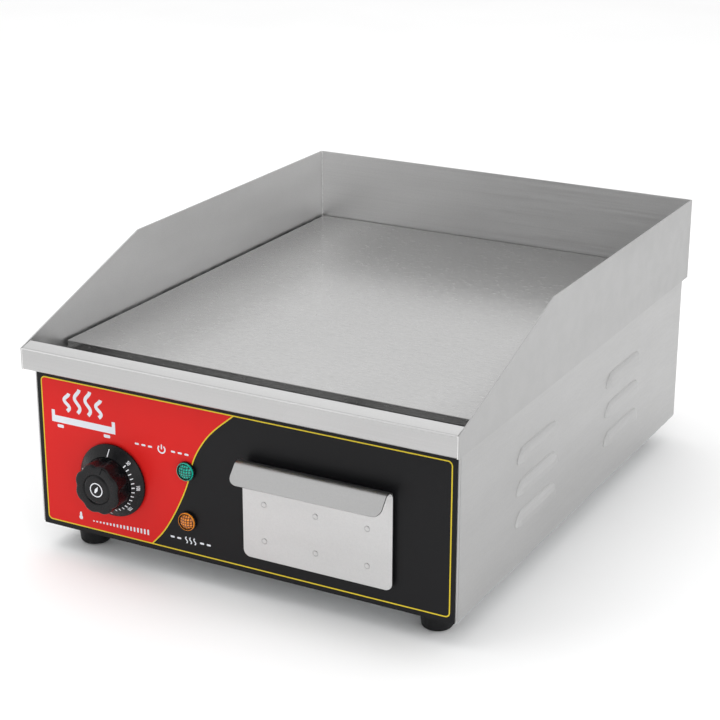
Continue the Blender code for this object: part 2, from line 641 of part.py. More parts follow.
def make_trough():
    """Grease trough between rail and plate, and the spout that drops grease into the drawer."""
    floor = Z_TROUGH_FLOOR
    outer = box("grease_trough", (-TROUGH_HALF, TROUGH_Y, floor),
                (TROUGH_HALF, PLATE_Y, Z_RING + SHEET), "stainless")
    combine(outer, box("trough_flanges", (-GUARD_INNER + GAP, TROUGH_Y, Z_RING),
                       (GUARD_INNER - GAP, PLATE_Y + TROUGH_LIP, Z_RING + SHEET),
                       cutter=True), "UNION")
    combine(outer, box("trough_front_wall", (-TROUGH_HALF, TROUGH_Y, floor + SHEET),
                       (TROUGH_HALF, TROUGH_Y + SHEET, Z_RING + TROUGH_UPSTAND),
                       cutter=True), "UNION")
    combine(outer, box("trough_hollow", (-TROUGH_HALF + SHEET, TROUGH_Y + SHEET, floor + SHEET),
                       (TROUGH_HALF - SHEET, PLATE_Y - SHEET, Z_RING + 2 * SHEET), cutter=True))
    axis = (SPOUT_X, FRONT_Y + SPOUT_BACK)
    combine(outer, rod("drain_hole", SPOUT_BORE, 4 * SHEET, (*axis, floor - SHEET), (0, 0, 0),
                       cutter=True))
    top = floor - GAP
    wall = SPOUT_BORE + SHEET
    flange = wall + SPOUT_FLANGE
    turned("drain_spout", [(flange, top), (flange, top - SHEET), (wall, top - SHEET),
                           (wall, top - SPOUT_LENGTH), (SPOUT_BORE, top - SPOUT_LENGTH),
                           (SPOUT_BORE, top)], "stainless", (*axis, 0), segments=24, closed=True)


def make_plate():
    """Support ring on the casing's top flange, and the hot plate that lies on it."""
    ring = box("support_ring", (-GUARD_INNER + GAP, RING_Y, Z_RING),
               (GUARD_INNER - GAP, GUARD_BACK_Y - GAP, Z_RING + SHEET), "stainless")
    inner = HALF_CASE - RING_BORDER
    combine(ring, box("ring_opening", (-inner, RING_Y + RING_BORDER, Z_RING - SHEET),
                      (inner, GUARD_BACK_Y - GAP - RING_BORDER, Z_RING + 2 * SHEET), cutter=True))
    half = GUARD_INNER - PLATE_SIDE_GAP
    plate = box("griddle_plate", (-half, PLATE_Y, Z_PLATE),
                (half, GUARD_BACK_Y - PLATE_REAR_GAP, Z_PLATE_TOP), "griddle_steel")
    bevel = plate.modifiers.new("edges", "BEVEL")
    bevel.width = PLATE_EDGE
    bevel.segments = 1


# ---------------------------------------------------------------- heating


def element_path(side):
    """Runs of one heating element with round bends between them, tails turned down at the rear."""
    front, rear = FRONT_Y + ELEMENT_FRONT, FRONT_Y + ELEMENT_REAR
    bend = ELEMENT_PITCH / 2
    tail_bend = 3 * ELEMENT_R
    first = side * ELEMENT_FIRST * ELEMENT_PITCH
    path = [(first, rear, Z_ELEMENT - ELEMENT_TAIL)]
    path += [(first, rear - tail_bend * (1 - math.cos(a)), Z_ELEMENT - tail_bend * (1 - math.sin(a)))
             for a in (0, math.pi / 6, math.pi / 3, math.pi / 2)]
    for run in range(ELEMENT_RUNS - 1):
        x = first + side * run * ELEMENT_PITCH
        ahead = run % 2 == 0
        centre_y = front + bend if ahead else rear - tail_bend - bend
        for i in range(7):
            a = math.pi * i / 6
            y = centre_y + (-1 if ahead else 1) * bend * math.sin(a)
            path.append((x + side * bend * (1 - math.cos(a)), y, Z_ELEMENT))
    last = first + side * (ELEMENT_RUNS - 1) * ELEMENT_PITCH
    path += [(last, rear - tail_bend * (1 - math.cos(a)), Z_ELEMENT - tail_bend * (1 - math.sin(a)))
             for a in (math.pi / 2, math.pi / 3, math.pi / 6, 0)]
    path.append((last, rear, Z_ELEMENT - ELEMENT_TAIL))
    return path


def element_tails():
    """Places of the four tails, left outer, left inner, right inner, right outer."""
    inner = ELEMENT_FIRST * ELEMENT_PITCH
    outer = inner + (ELEMENT_RUNS - 1) * ELEMENT_PITCH
    return [(x, FRONT_Y + ELEMENT_REAR) for x in (-outer, -inner, inner, outer)]


def clamp_y(share):
    return FRONT_Y + ELEMENT_FRONT + share * (ELEMENT_REAR - ELEMENT_FRONT)


def make_heating():
    """Elements under the plate, and the bars, studs and nuts that press them on it."""
    for side, word in ((-1, "left"), (1, "right")):
        tube(f"heating_element_{word}", element_path(side), ELEMENT_R, "element_sheath")
    half_bar = element_tails()[3][0] + CLAMP_OVERLAP
    stud_x = (ELEMENT_FIRST + (ELEMENT_RUNS - 1) / 2) * ELEMENT_PITCH
    nut_r = NUT_ACROSS_FLATS / math.sqrt(3)
    for place_word, share in CLAMP_PLACES.items():
        y = clamp_y(share)
        bar = box(f"clamp_bar_{place_word}", (-half_bar, y - CLAMP_WIDTH / 2, Z_CLAMP),
                  (half_bar, y + CLAMP_WIDTH / 2, Z_CLAMP + CLAMP_THICKNESS), "galvanised")
        combine(bar, rods(f"bar_holes_{place_word}", STUD_R + GAP, 2 * CLAMP_THICKNESS,
                          [(side * stud_x, y, Z_CLAMP - CLAMP_THICKNESS / 2) for side in (-1, 1)],
                          (0, 0, 0)))
        for side, side_word in ((-1, "left"), (1, "right")):
            corner = f"{place_word}_{side_word}"
            low = Z_CLAMP - GAP - NUT_HEIGHT
            rod(f"plate_stud_{corner}", STUD_R, Z_PLATE - GAP - low + STUD_TAIL,
                (side * stud_x, y, low - STUD_TAIL), (0, 0, 0), "zinc_fastener", segments=16)
            nut = rod(f"clamp_nut_{corner}", nut_r, NUT_HEIGHT, (side * stud_x, y, low), (0, 0, 0),
                      "zinc_fastener", segments=6)
            combine(nut, rod(f"nut_bore_{corner}", STUD_R + GAP, 2 * NUT_HEIGHT,
                             (side * stud_x, y, low - NUT_HEIGHT / 2), (0, 0, 0), cutter=True,
                             segments=16))


def make_shield():
    """Tray that hangs under the casing's top flange, with a fibre blanket in it."""
    front, rear = FRONT_Y + SHIELD_FRONT, BACK_Y - SHIELD_REAR_INSET
    shield = box("heat_shield", (-SHIELD_HALF, front, Z_SHIELD),
                 (SHIELD_HALF, rear, Z_SHIELD_FLANGE + SHEET), "galvanised")
    for side, word in ((-1, "left"), (1, "right")):
        edges = sorted((side * (SHIELD_HALF - SHEET / 2), side * (SHIELD_HALF + SHIELD_FLANGE)))
        combine(shield, box(f"shield_flange_{word}", (edges[0], front, Z_SHIELD_FLANGE),
                            (edges[1], rear, Z_SHIELD_FLANGE + SHEET), cutter=True), "UNION")
    combine(shield, box("shield_hollow", (-SHIELD_HALF + SHEET, front + SHEET, Z_SHIELD + SHEET),
                        (SHIELD_HALF - SHEET, rear - SHEET, Z_SHIELD_FLANGE + 2 * SHEET),
                        cutter=True))
    tails = [(x, y, Z_SHIELD - SHEET) for x, y in element_tails()]
    hole_r = ELEMENT_R + TAIL_HOLE_CLEAR
    combine(shield, rods("shield_tail_holes", hole_r, 3 * SHEET, tails, (0, 0, 0)))
    combine(shield, rod("capillary_hole", CAPILLARY_HOLE_R, 4 * SHEET,
                        (0, front - SHEET, Z_CLAMP - NUT_HEIGHT), TOWARDS_BACK, cutter=True,
                        segments=16))
    low = Z_SHIELD + SHEET + GAP
    blanket = box("insulation_blanket", (-SHIELD_HALF + SHEET + GAP, front + SHEET + GAP, low),
                  (SHIELD_HALF - SHEET - GAP, rear - SHEET - GAP, low + BLANKET_THICKNESS),
                  "ceramic_fibre")
    combine(blanket, rods("blanket_tail_holes", hole_r, 2 * BLANKET_THICKNESS, tails, (0, 0, 0)))


# ---------------------------------------------------------------- controls


def stat_screw_heights():
    return [Z_BASE + KNOB_Z + s * STAT_SCREW_SPACING / 2 for s in (-1, 1)]


def make_thermostat():
    """Thermostat behind the panel, its two screws, and its sensing bulb on a capillary tube."""
    width, depth, height = STAT_SIZE
    front = PANEL_BACK + GAP
    middle = Z_BASE + KNOB_Z
    stat = box("thermostat_body", (KNOB_X - width / 2, front, middle - height / 2),
               (KNOB_X + width / 2, front + depth, middle + height / 2), "white_plastic")
    combine(stat, rod("stat_bore", SPINDLE_R + GAP, SPINDLE_IN_STAT + SHEET + GAP,
                      (KNOB_X, front - SHEET, middle), TOWARDS_BACK, cutter=True, segments=20))
    combine(stat, rods("stat_screw_bores", STAT_SCREW_R + GAP, STAT_SCREW_LENGTH + SHEET,
                       [(KNOB_X, front - SHEET, z) for z in stat_screw_heights()],
                       TOWARDS_BACK, 12))
    head = 2 * MM
    tip = -(front - FRONT_Y) - STAT_SCREW_LENGTH + 2 * GAP
    screw = [(0, GAP + head), (STAT_SCREW_R, GAP + head), (2 * STAT_SCREW_R, GAP + head / 2),
             (2 * STAT_SCREW_R, GAP), (STAT_SCREW_R, GAP), (STAT_SCREW_R, tip), (0, tip)]
    for word, z in zip(("lower", "upper"), stat_screw_heights()):
        turned(f"thermostat_screw_{word}", screw, "zinc_fastener", (KNOB_X, FRONT_Y, z),
               TOWARDS_FRONT, segments=12)
    bulb_z = Z_PLATE - GAP - BULB_R
    bulb_mid = FRONT_Y + (ELEMENT_FRONT + ELEMENT_REAR) / 2
    shield_y = FRONT_Y + SHIELD_FRONT
    hole_z = Z_CLAMP - NUT_HEIGHT
    stat_back = front + depth + GAP + CAPILLARY_R
    bulb = [(0, bulb_mid + BULB_LENGTH / 2, bulb_z), (0, bulb_mid - BULB_LENGTH / 2, bulb_z)]
    route = [(0, bulb_mid - BULB_LENGTH / 2 - 3 * MM, bulb_z),
             (0, clamp_y(CLAMP_PLACES["front"]) + CLAMP_WIDTH, bulb_z),
             (0, clamp_y(CLAMP_PLACES["front"]) - CLAMP_WIDTH, bulb_z),
             (0, shield_y + 25 * MM, hole_z), (0, shield_y - 8 * MM, hole_z),
             (-30 * MM, shield_y - 12 * MM, hole_z - 12 * MM),
             (KNOB_X + width / 2, stat_back + 14 * MM, middle + height / 2 + 4 * MM),
             (KNOB_X + width / 4, stat_back + 8 * MM, middle + height / 4),
             (KNOB_X, stat_back, middle)]
    path = [Vector(p) for p in bulb] + smooth_path(route, 3)
    radii = [BULB_R / CAPILLARY_R] * 2 + [1] * (len(path) - 2)
    tube("sensing_bulb", path, CAPILLARY_R, "copper", radii)


def make_knob():
    """Dial knob: coned skirt with a lobed grip, bored for the spindle, and a disc in its face."""
    place_at = (KNOB_X, FRONT_Y, Z_BASE + KNOB_Z)
    grip_low = KNOB_CONE_TOP - 1.5 * MM
    cone_r = KNOB_GRIP_R - 0.5 * MM
    edge = KNOB_SKIRT_REAR + KNOB_SKIRT_EDGE
    bore_top = KNOB_SKIRT_REAR + SPINDLE_IN_KNOB + 2 * GAP
    bore_r = SPINDLE_R + GAP
    skirt = [(cone_r, KNOB_CONE_TOP), (KNOB_SKIRT_R, edge), (KNOB_SKIRT_R, KNOB_SKIRT_REAR),
             (KNOB_SKIRT_R - KNOB_WALL, KNOB_SKIRT_REAR),
             (KNOB_GRIP_R - KNOB_WALL, KNOB_CONE_TOP - KNOB_WALL),
             (KNOB_BOSS_R, KNOB_CONE_TOP - KNOB_WALL), (KNOB_BOSS_R, KNOB_SKIRT_REAR),
             (bore_r, KNOB_SKIRT_REAR), (bore_r, bore_top), (0, bore_top)]
    knob = turned("knob", [(0, KNOB_CONE_TOP + 4 * MM), (cone_r - 3 * MM, KNOB_CONE_TOP + 4 * MM),
                           (cone_r - 3 * MM, KNOB_CONE_TOP), *skirt],
                  "black_plastic", place_at, TOWARDS_FRONT, segments=48)
    count = 6 * KNOB_LOBES
    outline = []
    for i in range(count):
        a = 2 * math.pi * i / count
        r = KNOB_GRIP_R - KNOB_LOBE_DEPTH * (1 - abs(math.cos(KNOB_LOBES * a / 2))) ** 1.5
        outline.append((r * math.cos(a), r * math.sin(a)))
    length = KNOB_REACH - grip_low
    centre = Vector(place_at) + Vector((0, -(grip_low + length / 2), 0))
    grip = as_mesh(flat_outline("knob_grip_tool", outline, length, "black_plastic", centre,
                                TOWARDS_FRONT))
    PARTS.objects.unlink(grip)
    CUTTERS.objects.link(grip)
    grip.hide_render = True
    grip.display_type = "WIRE"
    combine(knob, grip, "UNION")
    front_at = (KNOB_X, FRONT_Y - KNOB_REACH - SHEET, Z_BASE + KNOB_Z)
    combine(knob, rod("badge_recess", BADGE_R + GAP, BADGE_SINK + SHEET, front_at, TOWARDS_BACK,
                      cutter=True, segments=32))
    combine(knob, rod("knob_bore", bore_r, SPINDLE_IN_KNOB + 2 * GAP + SHEET,
                      (KNOB_X, FRONT_Y - KNOB_SKIRT_REAR + SHEET, Z_BASE + KNOB_Z), TOWARDS_FRONT,
                      cutter=True, segments=20))
    rod("knob_badge", BADGE_R, BADGE_SINK - 2 * GAP,
        (KNOB_X, FRONT_Y - KNOB_REACH + BADGE_SINK - GAP, Z_BASE + KNOB_Z), TOWARDS_FRONT, "badge",
        segments=32)
    inner_end = PANEL_BACK + GAP + SPINDLE_IN_STAT - FRONT_Y
    length = inner_end + KNOB_SKIRT_REAR + SPINDLE_IN_KNOB
    rod("thermostat_spindle", SPINDLE_R, length, (KNOB_X, FRONT_Y + inner_end, Z_BASE + KNOB_Z),
        TOWARDS_FRONT, "zinc_fastener", segments=20)


def make_lamp(name, height, lens_finish):
    """Indicator lamp: a bezel with its barrel through the panel, a lens and a spring clip."""
    place_at = (LAMP_X, FRONT_Y, Z_BASE + height)
    front = GAP + LAMP_BEZEL
    inside = -(PANEL_BACK - FRONT_Y)
    turned(f"{name}_housing",
           [(0, front), (LAMP_BEZEL_R - 0.5 * MM, front), (LAMP_BEZEL_R, front - 0.6 * MM),
            (LAMP_BEZEL_R, GAP), (LAMP_BARREL_R, GAP), (LAMP_BARREL_R, inside - LAMP_BARREL),
            (0, inside - LAMP_BARREL)], "black_plastic", place_at, TOWARDS_FRONT, 24)
    low = front + GAP
    dome = arc((0, low), LAMP_LENS_R, math.pi / 2, 0, 4)
    scale = (LAMP_LENS - 1.2 * MM) / LAMP_LENS_R
    lens = [(r, low + 1.2 * MM + (h - low) * scale) for r, h in dome]
    turned(f"{name}_lens", [*lens, (LAMP_LENS_R, low), (0, low)], lens_finish, place_at,
           TOWARDS_FRONT, 24)
    clip_r = LAMP_BARREL_R + GAP
    clip_top = inside - GAP
    turned(f"{name}_clip", [(clip_r + 3 * MM, clip_top), (clip_r + 3 * MM, clip_top - SHEET),
                            (clip_r, clip_top - 3 * SHEET), (clip_r, clip_top)],
           "zinc_fastener", place_at, TOWARDS_FRONT, 24, closed=True)


# ---------------------------------------------------------------- grease drawer


def narrowing(distance, radius):
    """How far a rounded corner pulls a side in, at a distance from the end."""
    if distance >= radius:
        return 0
    return radius - math.sqrt(radius ** 2 - (radius - distance) ** 2)


def make_drawer_front():
    """Drawer face with rounded lower corners; its top curls over into a pull lip."""
    left = DRAWER_X - DRAWER_FACE_WIDTH / 2
    right = DRAWER_X + DRAWER_FACE_WIDTH / 2
    face_y = FRONT_Y - DRAWER_FACE_STAND
    bottom, top = Z_BASE + DRAWER_FACE_BOTTOM, Z_BASE + DRAWER_FACE_TOP
    steps = [DRAWER_CORNER_R * (1 - math.cos(math.pi / 2 * i / 4)) for i in range(5)]
    rows = []
    for rise in steps:
        pull = narrowing(rise, DRAWER_CORNER_R)
        rows.append((left + pull, right - pull, face_y, bottom + rise))
    centre = (face_y - LIP_BEND_R, top)
    for i in range(9):
        a = LIP_TURN * i / 8
        rows.append((left, right, centre[0] + LIP_BEND_R * math.cos(a),
                     centre[1] + LIP_BEND_R * math.sin(a)))
    start = rows[-1]
    steps = [LIP_CORNER_R * (1 - math.cos(math.pi / 2 * i / 4)) for i in range(4, -1, -1)]
    for rise in steps:
        run = LIP_LENGTH - rise
        pull = narrowing(rise, LIP_CORNER_R)
        rows.append((left + pull, right - pull, start[2] - run * math.sin(LIP_TURN),
                     start[3] + run * math.cos(LIP_TURN)))
    bent_sheet("drawer_front", rows, DRAWER_FACE_SHEET, "stainless", 1)


def make_drawer():
    make_drawer_front()
    front = FRONT_Y - DRAWER_FACE_STAND + DRAWER_FACE_SHEET + GAP
    rim_low = (OPENING_X[0] - TRAY_RIM, front, Z_BASE + OPENING_BOTTOM - TRAY_RIM)
    rim_high = (OPENING_X[1] + TRAY_RIM, FRONT_Y - GAP, Z_BASE + OPENING_TOP + TRAY_RIM)
    tray = box("drawer_tray", rim_low, rim_high, "stainless")
    back = FRONT_Y + TRAY_DEPTH
    combine(tray, box("tray_block", (TRAY_X[0], front + SHEET / 2, TRAY_Z[0]),
                      (TRAY_X[1], back, TRAY_Z[1]), cutter=True), "UNION")
    combine(tray, box("tray_hollow", (TRAY_X[0] + SHEET, FRONT_Y + GAP, TRAY_Z[0] + SHEET),
                      (TRAY_X[1] - SHEET, back - SHEET, TRAY_Z[1] + SHEET), cutter=True))
    shelf_z = TRAY_Z[0] - GAP
    floor_z = Z_BASE + 2 * SHEET + GAP
    for side, word in ((-1, "left"), (1, "right")):
        wall = (TRAY_X[0] if side < 0 else TRAY_X[1]) + side * RUNNER_SIDE_CLEAR
        web = wall - side * RUNNER_SHELF
        path = [(wall, shelf_z + RUNNER_UPSTAND), (wall, shelf_z), (web, shelf_z),
                (web, floor_z), (web - side * RUNNER_FOOT, floor_z)]
        make_runner(f"drawer_runner_{word}", path, side)


def make_runner(name, path, side):
    """A folded runner along Y: upstand beside the tray, shelf under it, web and foot."""
    front, rear = PANEL_BACK + PANEL_RETURN, FRONT_Y + TRAY_DEPTH
    bm = bmesh.new()
    pairs = [(bm.verts.new((x, front, z)), bm.verts.new((x, rear, z))) for x, z in path]
    for (a, b), (c, d) in zip(pairs, pairs[1:]):
        bm.faces.new((a, b, d, c) if side < 0 else (b, a, c, d))
    obj = place(name, mesh_of(name, bm), "galvanised")
    solid = obj.modifiers.new("sheet", "SOLIDIFY")
    solid.thickness = SHEET
    solid.offset = 1
    solid.use_even_offset = True


# ---------------------------------------------------------------- supply side


def make_gland():
    """Cable gland through the casing's back, and its locknut inside."""
    at = Vector((GLAND_X, BACK_Y, Z_BASE + GLAND_Z))
    outer = GAP + GLAND_HEX + GLAND_DOME
    inner = -SHEET - GLAND_THREAD
    gland = turned("cable_gland",
                   [(GLAND_DOME_R - 3 * MM, outer), (GLAND_DOME_R, outer - 4 * MM),
                    (GLAND_DOME_R, GAP), (GLAND_THREAD_R, GAP), (GLAND_THREAD_R, inner),
                    (GLAND_BORE_R, inner), (GLAND_BORE_R, outer)], "black_plastic", at,
                   TOWARDS_BACK, segments=24, closed=True)
    hex_r = GLAND_ACROSS_FLATS / math.sqrt(3)
    hexagon = rod("gland_hex", hex_r, GLAND_HEX, at + Vector((0, GAP, 0)), TOWARDS_BACK,
                  cutter=True, segments=6)
    combine(hexagon, rod("gland_hex_bore", GLAND_THREAD_R + SHEET, 2 * GLAND_HEX,
                         at - Vector((0, GLAND_HEX / 2, 0)), TOWARDS_BACK, cutter=True))
    combine(gland, hexagon, "UNION")
    nut_at = at - Vector((0, SHEET + GAP, 0))
    nut = rod("gland_locknut", hex_r, LOCKNUT, nut_at, TOWARDS_FRONT, "black_plastic", segments=6)
    combine(nut, rod("locknut_bore", GLAND_THREAD_R + GAP, 2 * LOCKNUT,
                     nut_at + Vector((0, LOCKNUT / 2, 0)), TOWARDS_FRONT, cutter=True))


def block_origin():
    """Low corner of the terminal block, on the base plate inside the bottom flange."""
    return Vector((HALF_CASE - SHEET - BOTTOM_FLANGE - BLOCK_SIZE[0] - 2 * MM,
                   BACK_Y - SHEET - BLOCK_REAR_INSET - BLOCK_SIZE[1], Z_BASE + SHEET + GAP))


def block_entry(way):
    """Front of one of the terminal block's three ways."""
    low = block_origin()
    return low + Vector((BLOCK_SIZE[0] * (way + 0.5) / 3, -GAP, BLOCK_SIZE[2] * 0.45))


def make_supply():
    """Terminal block on the base plate and the wires between block, thermostat and elements."""
    low = block_origin()
    block = box("terminal_block", low, low + Vector(BLOCK_SIZE), "white_plastic")
    mouth_r = 2 * WIRE_R
    combine(block, rods("block_mouths", mouth_r, BLOCK_SIZE[1] * 0.4,
                        [block_entry(way) + Vector((0, -GAP, 0)) for way in range(3)],
                        TOWARDS_BACK, 12))
    stat_back = PANEL_BACK + GAP + STAT_SIZE[1] + WIRE_R
    stat_z = Z_BASE + KNOB_Z
    tails = [Vector((x, y, Z_ELEMENT - ELEMENT_TAIL - WIRE_R)) for x, y in element_tails()]
    low_z = Z_BASE + 14 * MM
    mid_y = FRONT_Y + TRAY_DEPTH + 40 * MM
    down = Vector((0, 0, -22 * MM))
    live, neutral, earth = (block_entry(way) for way in range(3))
    ahead = Vector((0, -12 * MM, 0))
    routes = {
        "wire_live": [live, live + ahead, (live.x - 10 * MM, mid_y, low_z),
                      (-60 * MM, mid_y - 10 * MM, low_z), (KNOB_X, stat_back + 30 * MM, stat_z - 10 * MM),
                      (KNOB_X, stat_back + 8 * MM, stat_z - 15 * MM),
                      (KNOB_X, stat_back, stat_z - 15 * MM)],
        "wire_load": [tails[0], tails[0] + down, (KNOB_X - 14 * MM, mid_y, low_z + 10 * MM),
                      (KNOB_X - 14 * MM, stat_back + 25 * MM, stat_z),
                      (KNOB_X - 12 * MM, stat_back, stat_z + 6 * MM)],
        "wire_link": [tails[1], tails[1] + down, (0, tails[1].y, tails[1].z - 30 * MM),
                      tails[2] + down, tails[2]],
        "wire_neutral": [tails[3], tails[3] + down, (neutral.x + 24 * MM, neutral.y - 20 * MM, low_z + 16 * MM),
                         neutral + ahead, neutral],
        "wire_earth": [earth, earth + ahead, (earth.x + 22 * MM, earth.y - 24 * MM, low_z),
                       (HALF_CASE - SHEET - 2 * WIRE_R, earth.y - 30 * MM, low_z + 10 * MM)],
    }
    for name, route in routes.items():
        tube(name, smooth_path(route, 3), WIRE_R, "wire")


make_body_shell()
make_front()
make_base()
make_guards()
make_drip_rail()
make_trough()
make_plate()
make_heating()
make_shield()
make_thermostat()
make_knob()
make_lamp("power_lamp", LAMP_HEIGHTS["power_lamp"], "green_lens")
make_lamp("hot_lamp", LAMP_HEIGHTS["hot_lamp"], "amber_lens")
make_drawer()
make_gland()
make_supply()
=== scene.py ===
import math

import bmesh
import bpy
from mathutils import Matrix, Vector


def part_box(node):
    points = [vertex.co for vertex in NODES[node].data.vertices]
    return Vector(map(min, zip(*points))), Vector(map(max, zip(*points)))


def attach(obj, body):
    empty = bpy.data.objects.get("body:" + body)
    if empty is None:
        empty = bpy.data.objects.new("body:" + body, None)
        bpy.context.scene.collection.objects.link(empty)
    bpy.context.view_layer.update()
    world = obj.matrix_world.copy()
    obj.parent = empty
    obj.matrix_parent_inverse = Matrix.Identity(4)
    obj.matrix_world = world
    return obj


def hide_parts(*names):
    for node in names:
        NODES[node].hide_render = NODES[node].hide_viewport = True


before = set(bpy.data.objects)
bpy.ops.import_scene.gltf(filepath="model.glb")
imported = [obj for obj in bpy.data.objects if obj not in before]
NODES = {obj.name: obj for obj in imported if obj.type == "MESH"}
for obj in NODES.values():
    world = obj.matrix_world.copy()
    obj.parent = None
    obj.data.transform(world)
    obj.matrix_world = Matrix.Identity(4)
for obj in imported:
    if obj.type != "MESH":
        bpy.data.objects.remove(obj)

MM = 0.001
TURN = 2 * math.pi
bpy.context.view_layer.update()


def low(node):
    """A node's lowest corner."""
    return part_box(node)[0]


def high(node):
    """A node's highest corner."""
    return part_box(node)[1]


def middle(node):
    """The middle of a node's box."""
    return (low(node) + high(node)) / 2


FRONT_Y = low("panel_label").y      # the label's face
PANEL_LOW = low("base_plate").z     # heights on the panel are counted from here

# ---------------------------------------------------------------- materials


class Finish:
    """A material and short calls that add its nodes. Noise scales are per metre."""

    def __init__(self, name):
        self.material = bpy.data.materials.new(name)
        self.material.use_nodes = True
        self.nodes = self.material.node_tree.nodes
        self.links = self.material.node_tree.links
        self.shader = self.nodes["Principled BSDF"]
        place = self.nodes.new("ShaderNodeTexCoord")
        self.coords, self.normal = place.outputs["Object"], place.outputs["Normal"]

    def set(self, **values):
        """Values for the shader's own sockets."""
        for key, value in values.items():
            self.shader.inputs[key.replace("_", " ")].default_value = value
        return self

    def noise(self, scale, detail=3, rough=0.55):
        """Noise at one scale, or stretched by a scale for each axis."""
        mapping = self.nodes.new("ShaderNodeMapping")
        mapping.inputs["Scale"].default_value = scale if isinstance(scale, tuple) else (scale,) * 3
        node = self.nodes.new("ShaderNodeTexNoise")
        node.inputs["Scale"].default_value = 1
        node.inputs["Detail"].default_value = detail
        node.inputs["Roughness"].default_value = rough
        self.links.new(self.coords, mapping.inputs["Vector"])
        self.links.new(mapping.outputs["Vector"], node.inputs["Vector"])
        return node.outputs["Fac"]

    def ramp(self, source, stops):
        """Colours at their places along a source."""
        node = self.nodes.new("ShaderNodeValToRGB")
        ramp = node.color_ramp
        while len(ramp.elements) < len(stops):
            ramp.elements.new(0.5)
        for element, (at, colour) in zip(ramp.elements, stops):
            element.position = at
            element.color = (*colour, 1)
        self.links.new(source, node.inputs["Fac"])
        return node.outputs["Color"]

    def span(self, source, start, end, a=0.3, b=0.7):
        """From start to end while the source goes from a to b."""
        node = self.nodes.new("ShaderNodeMapRange")
        node.interpolation_type = "SMOOTHSTEP"
        for key, value in (("From Min", a), ("From Max", b), ("To Min", start), ("To Max", end)):
            node.inputs[key].default_value = value
        self.links.new(source, node.inputs["Value"])
        return node.outputs["Result"]

    def facing(self, direction, value, start, end):
        """One, and a value on the faces that look along a direction, blended between two cosines."""
        node = self.nodes.new("ShaderNodeVectorMath")
        node.operation = "DOT_PRODUCT"
        node.inputs[1].default_value = direction
        self.links.new(self.normal, node.inputs[0])
        return self.span(node.outputs["Value"], 1, value, start, end)

    def mix(self, a, b, blend="MULTIPLY"):
        """Two colours multiplied, or added."""
        node = self.nodes.new("ShaderNodeMix")
        node.data_type = "RGBA"
        node.blend_type = blend
        node.inputs["Factor"].default_value = 1.0
        self.links.new(a, node.inputs[6])
        self.links.new(b, node.inputs[7])
        return node.outputs[2]

    def bump(self, *layers):
        """Layers of (height, strength, distance), one on the other."""
        last = None
        for height, strength, distance in layers:
            node = self.nodes.new("ShaderNodeBump")
            node.inputs["Strength"].default_value = strength
            node.inputs["Distance"].default_value = distance
            self.links.new(height, node.inputs["Height"])
            if last is not None:
                self.links.new(last, node.inputs["Normal"])
            last = node.outputs["Normal"]
        self.links.new(last, self.shader.inputs["Normal"])
        return self

    def colour(self, source):
        """The base colour from a node."""
        self.links.new(source, self.shader.inputs["Base Color"])
        return self

    def rough(self, source):
        """The roughness from a node."""
        self.links.new(source, self.shader.inputs["Roughness"])
        return self


def grey(value, tint=0.0):
    """A grey; a positive tint warms it."""
    return (value * (1 + tint), value, value * (1 - tint))


STEEL_TINT = 0.002


def rolled_steel(name, value, rough, grain, streak, wave, painted_light=()):
    """Stainless sheet: a fine grain, a cloudy tone and a soft waviness in its surface.
    Painted light: faces that look along given directions are painted brighter; each is (direction, value,
    first cosine, last cosine)."""
    f = Finish(name).set(Metallic=1.0)
    lines = f.noise(grain, 4, 0.6)
    cloud = f.noise((9, 6, 28), 2, 0.5)
    fleck = f.noise(900, 2)
    base = f.ramp(cloud, [(0.3, grey(value * 0.965, STEEL_TINT)),
                          (0.7, grey(value * 1.035, STEEL_TINT))])
    base = f.mix(base, f.ramp(fleck, [(0.3, grey(0.97)), (0.7, grey(1.02))]))
    grained = f.ramp(lines, [(0.32, grey(1 - streak)), (0.68, grey(1.0))])
    tone = f.mix(base, grained)
    # painted light: a brighter colour on the faces that look along the given directions
    for direction, lift, start, end in painted_light:
        tone = f.mix(tone, f.facing(direction, lift, start, end))
    f.colour(tone)
    f.rough(f.span(lines, rough - 0.05, rough + 0.06))
    f.bump((f.noise(7, 1), wave, 0.0006), (lines, 0.07, 0.00006), (fleck, 0.10, 0.00004))
    return f.material


# Painted reflection of the guards on the plate, darker towards its edges: an axis, where the edge and the
# end of the band lie on it, and the edge's level.
PAINTED_REFLECTION_BANDS = (("X", -176 * MM, -122 * MM, 0.70),
              ("Y", 224 * MM, 190 * MM, 0.92),
              ("X", 176 * MM, 120 * MM, 0.86))


def ground_steel():
    """Machined hot plate: a fine cross grain, a fine mottling, and a painted dark reflection of the guards
    towards its edges.
    """
    f = Finish("griddle_ground_steel").set(Metallic=1.0)
    lines = f.noise((70, 1500, 1500), 4, 0.65)
    mottle = f.noise((190, 420, 420), 5, 0.65)
    cloud = f.noise(9, 2)
    base = f.ramp(cloud, [(0.3, grey(0.54, 0.004)), (0.7, grey(0.565, 0.004))])
    worn = f.ramp(mottle, [(0.25, grey(0.86)), (0.5, grey(0.97)), (0.75, grey(1.0))])
    grained = f.ramp(lines, [(0.3, grey(0.90)), (0.7, grey(1.0))])
    tone = f.mix(f.mix(base, worn), grained)
    # painted reflection: the plate is darker towards the guards
    for axis, edge, inner, level in PAINTED_REFLECTION_BANDS:
        split = f.nodes.new("ShaderNodeSeparateXYZ")
        f.links.new(f.coords, split.inputs[0])
        band = f.span(split.outputs[axis], level, 1, edge, inner)
        tone = f.mix(tone, band)
    f.colour(tone)
    f.rough(f.span(mottle, 0.21, 0.28))
    f.bump((mottle, 0.05, 0.0001), (lines, 0.20, 0.00005))
    return f.material


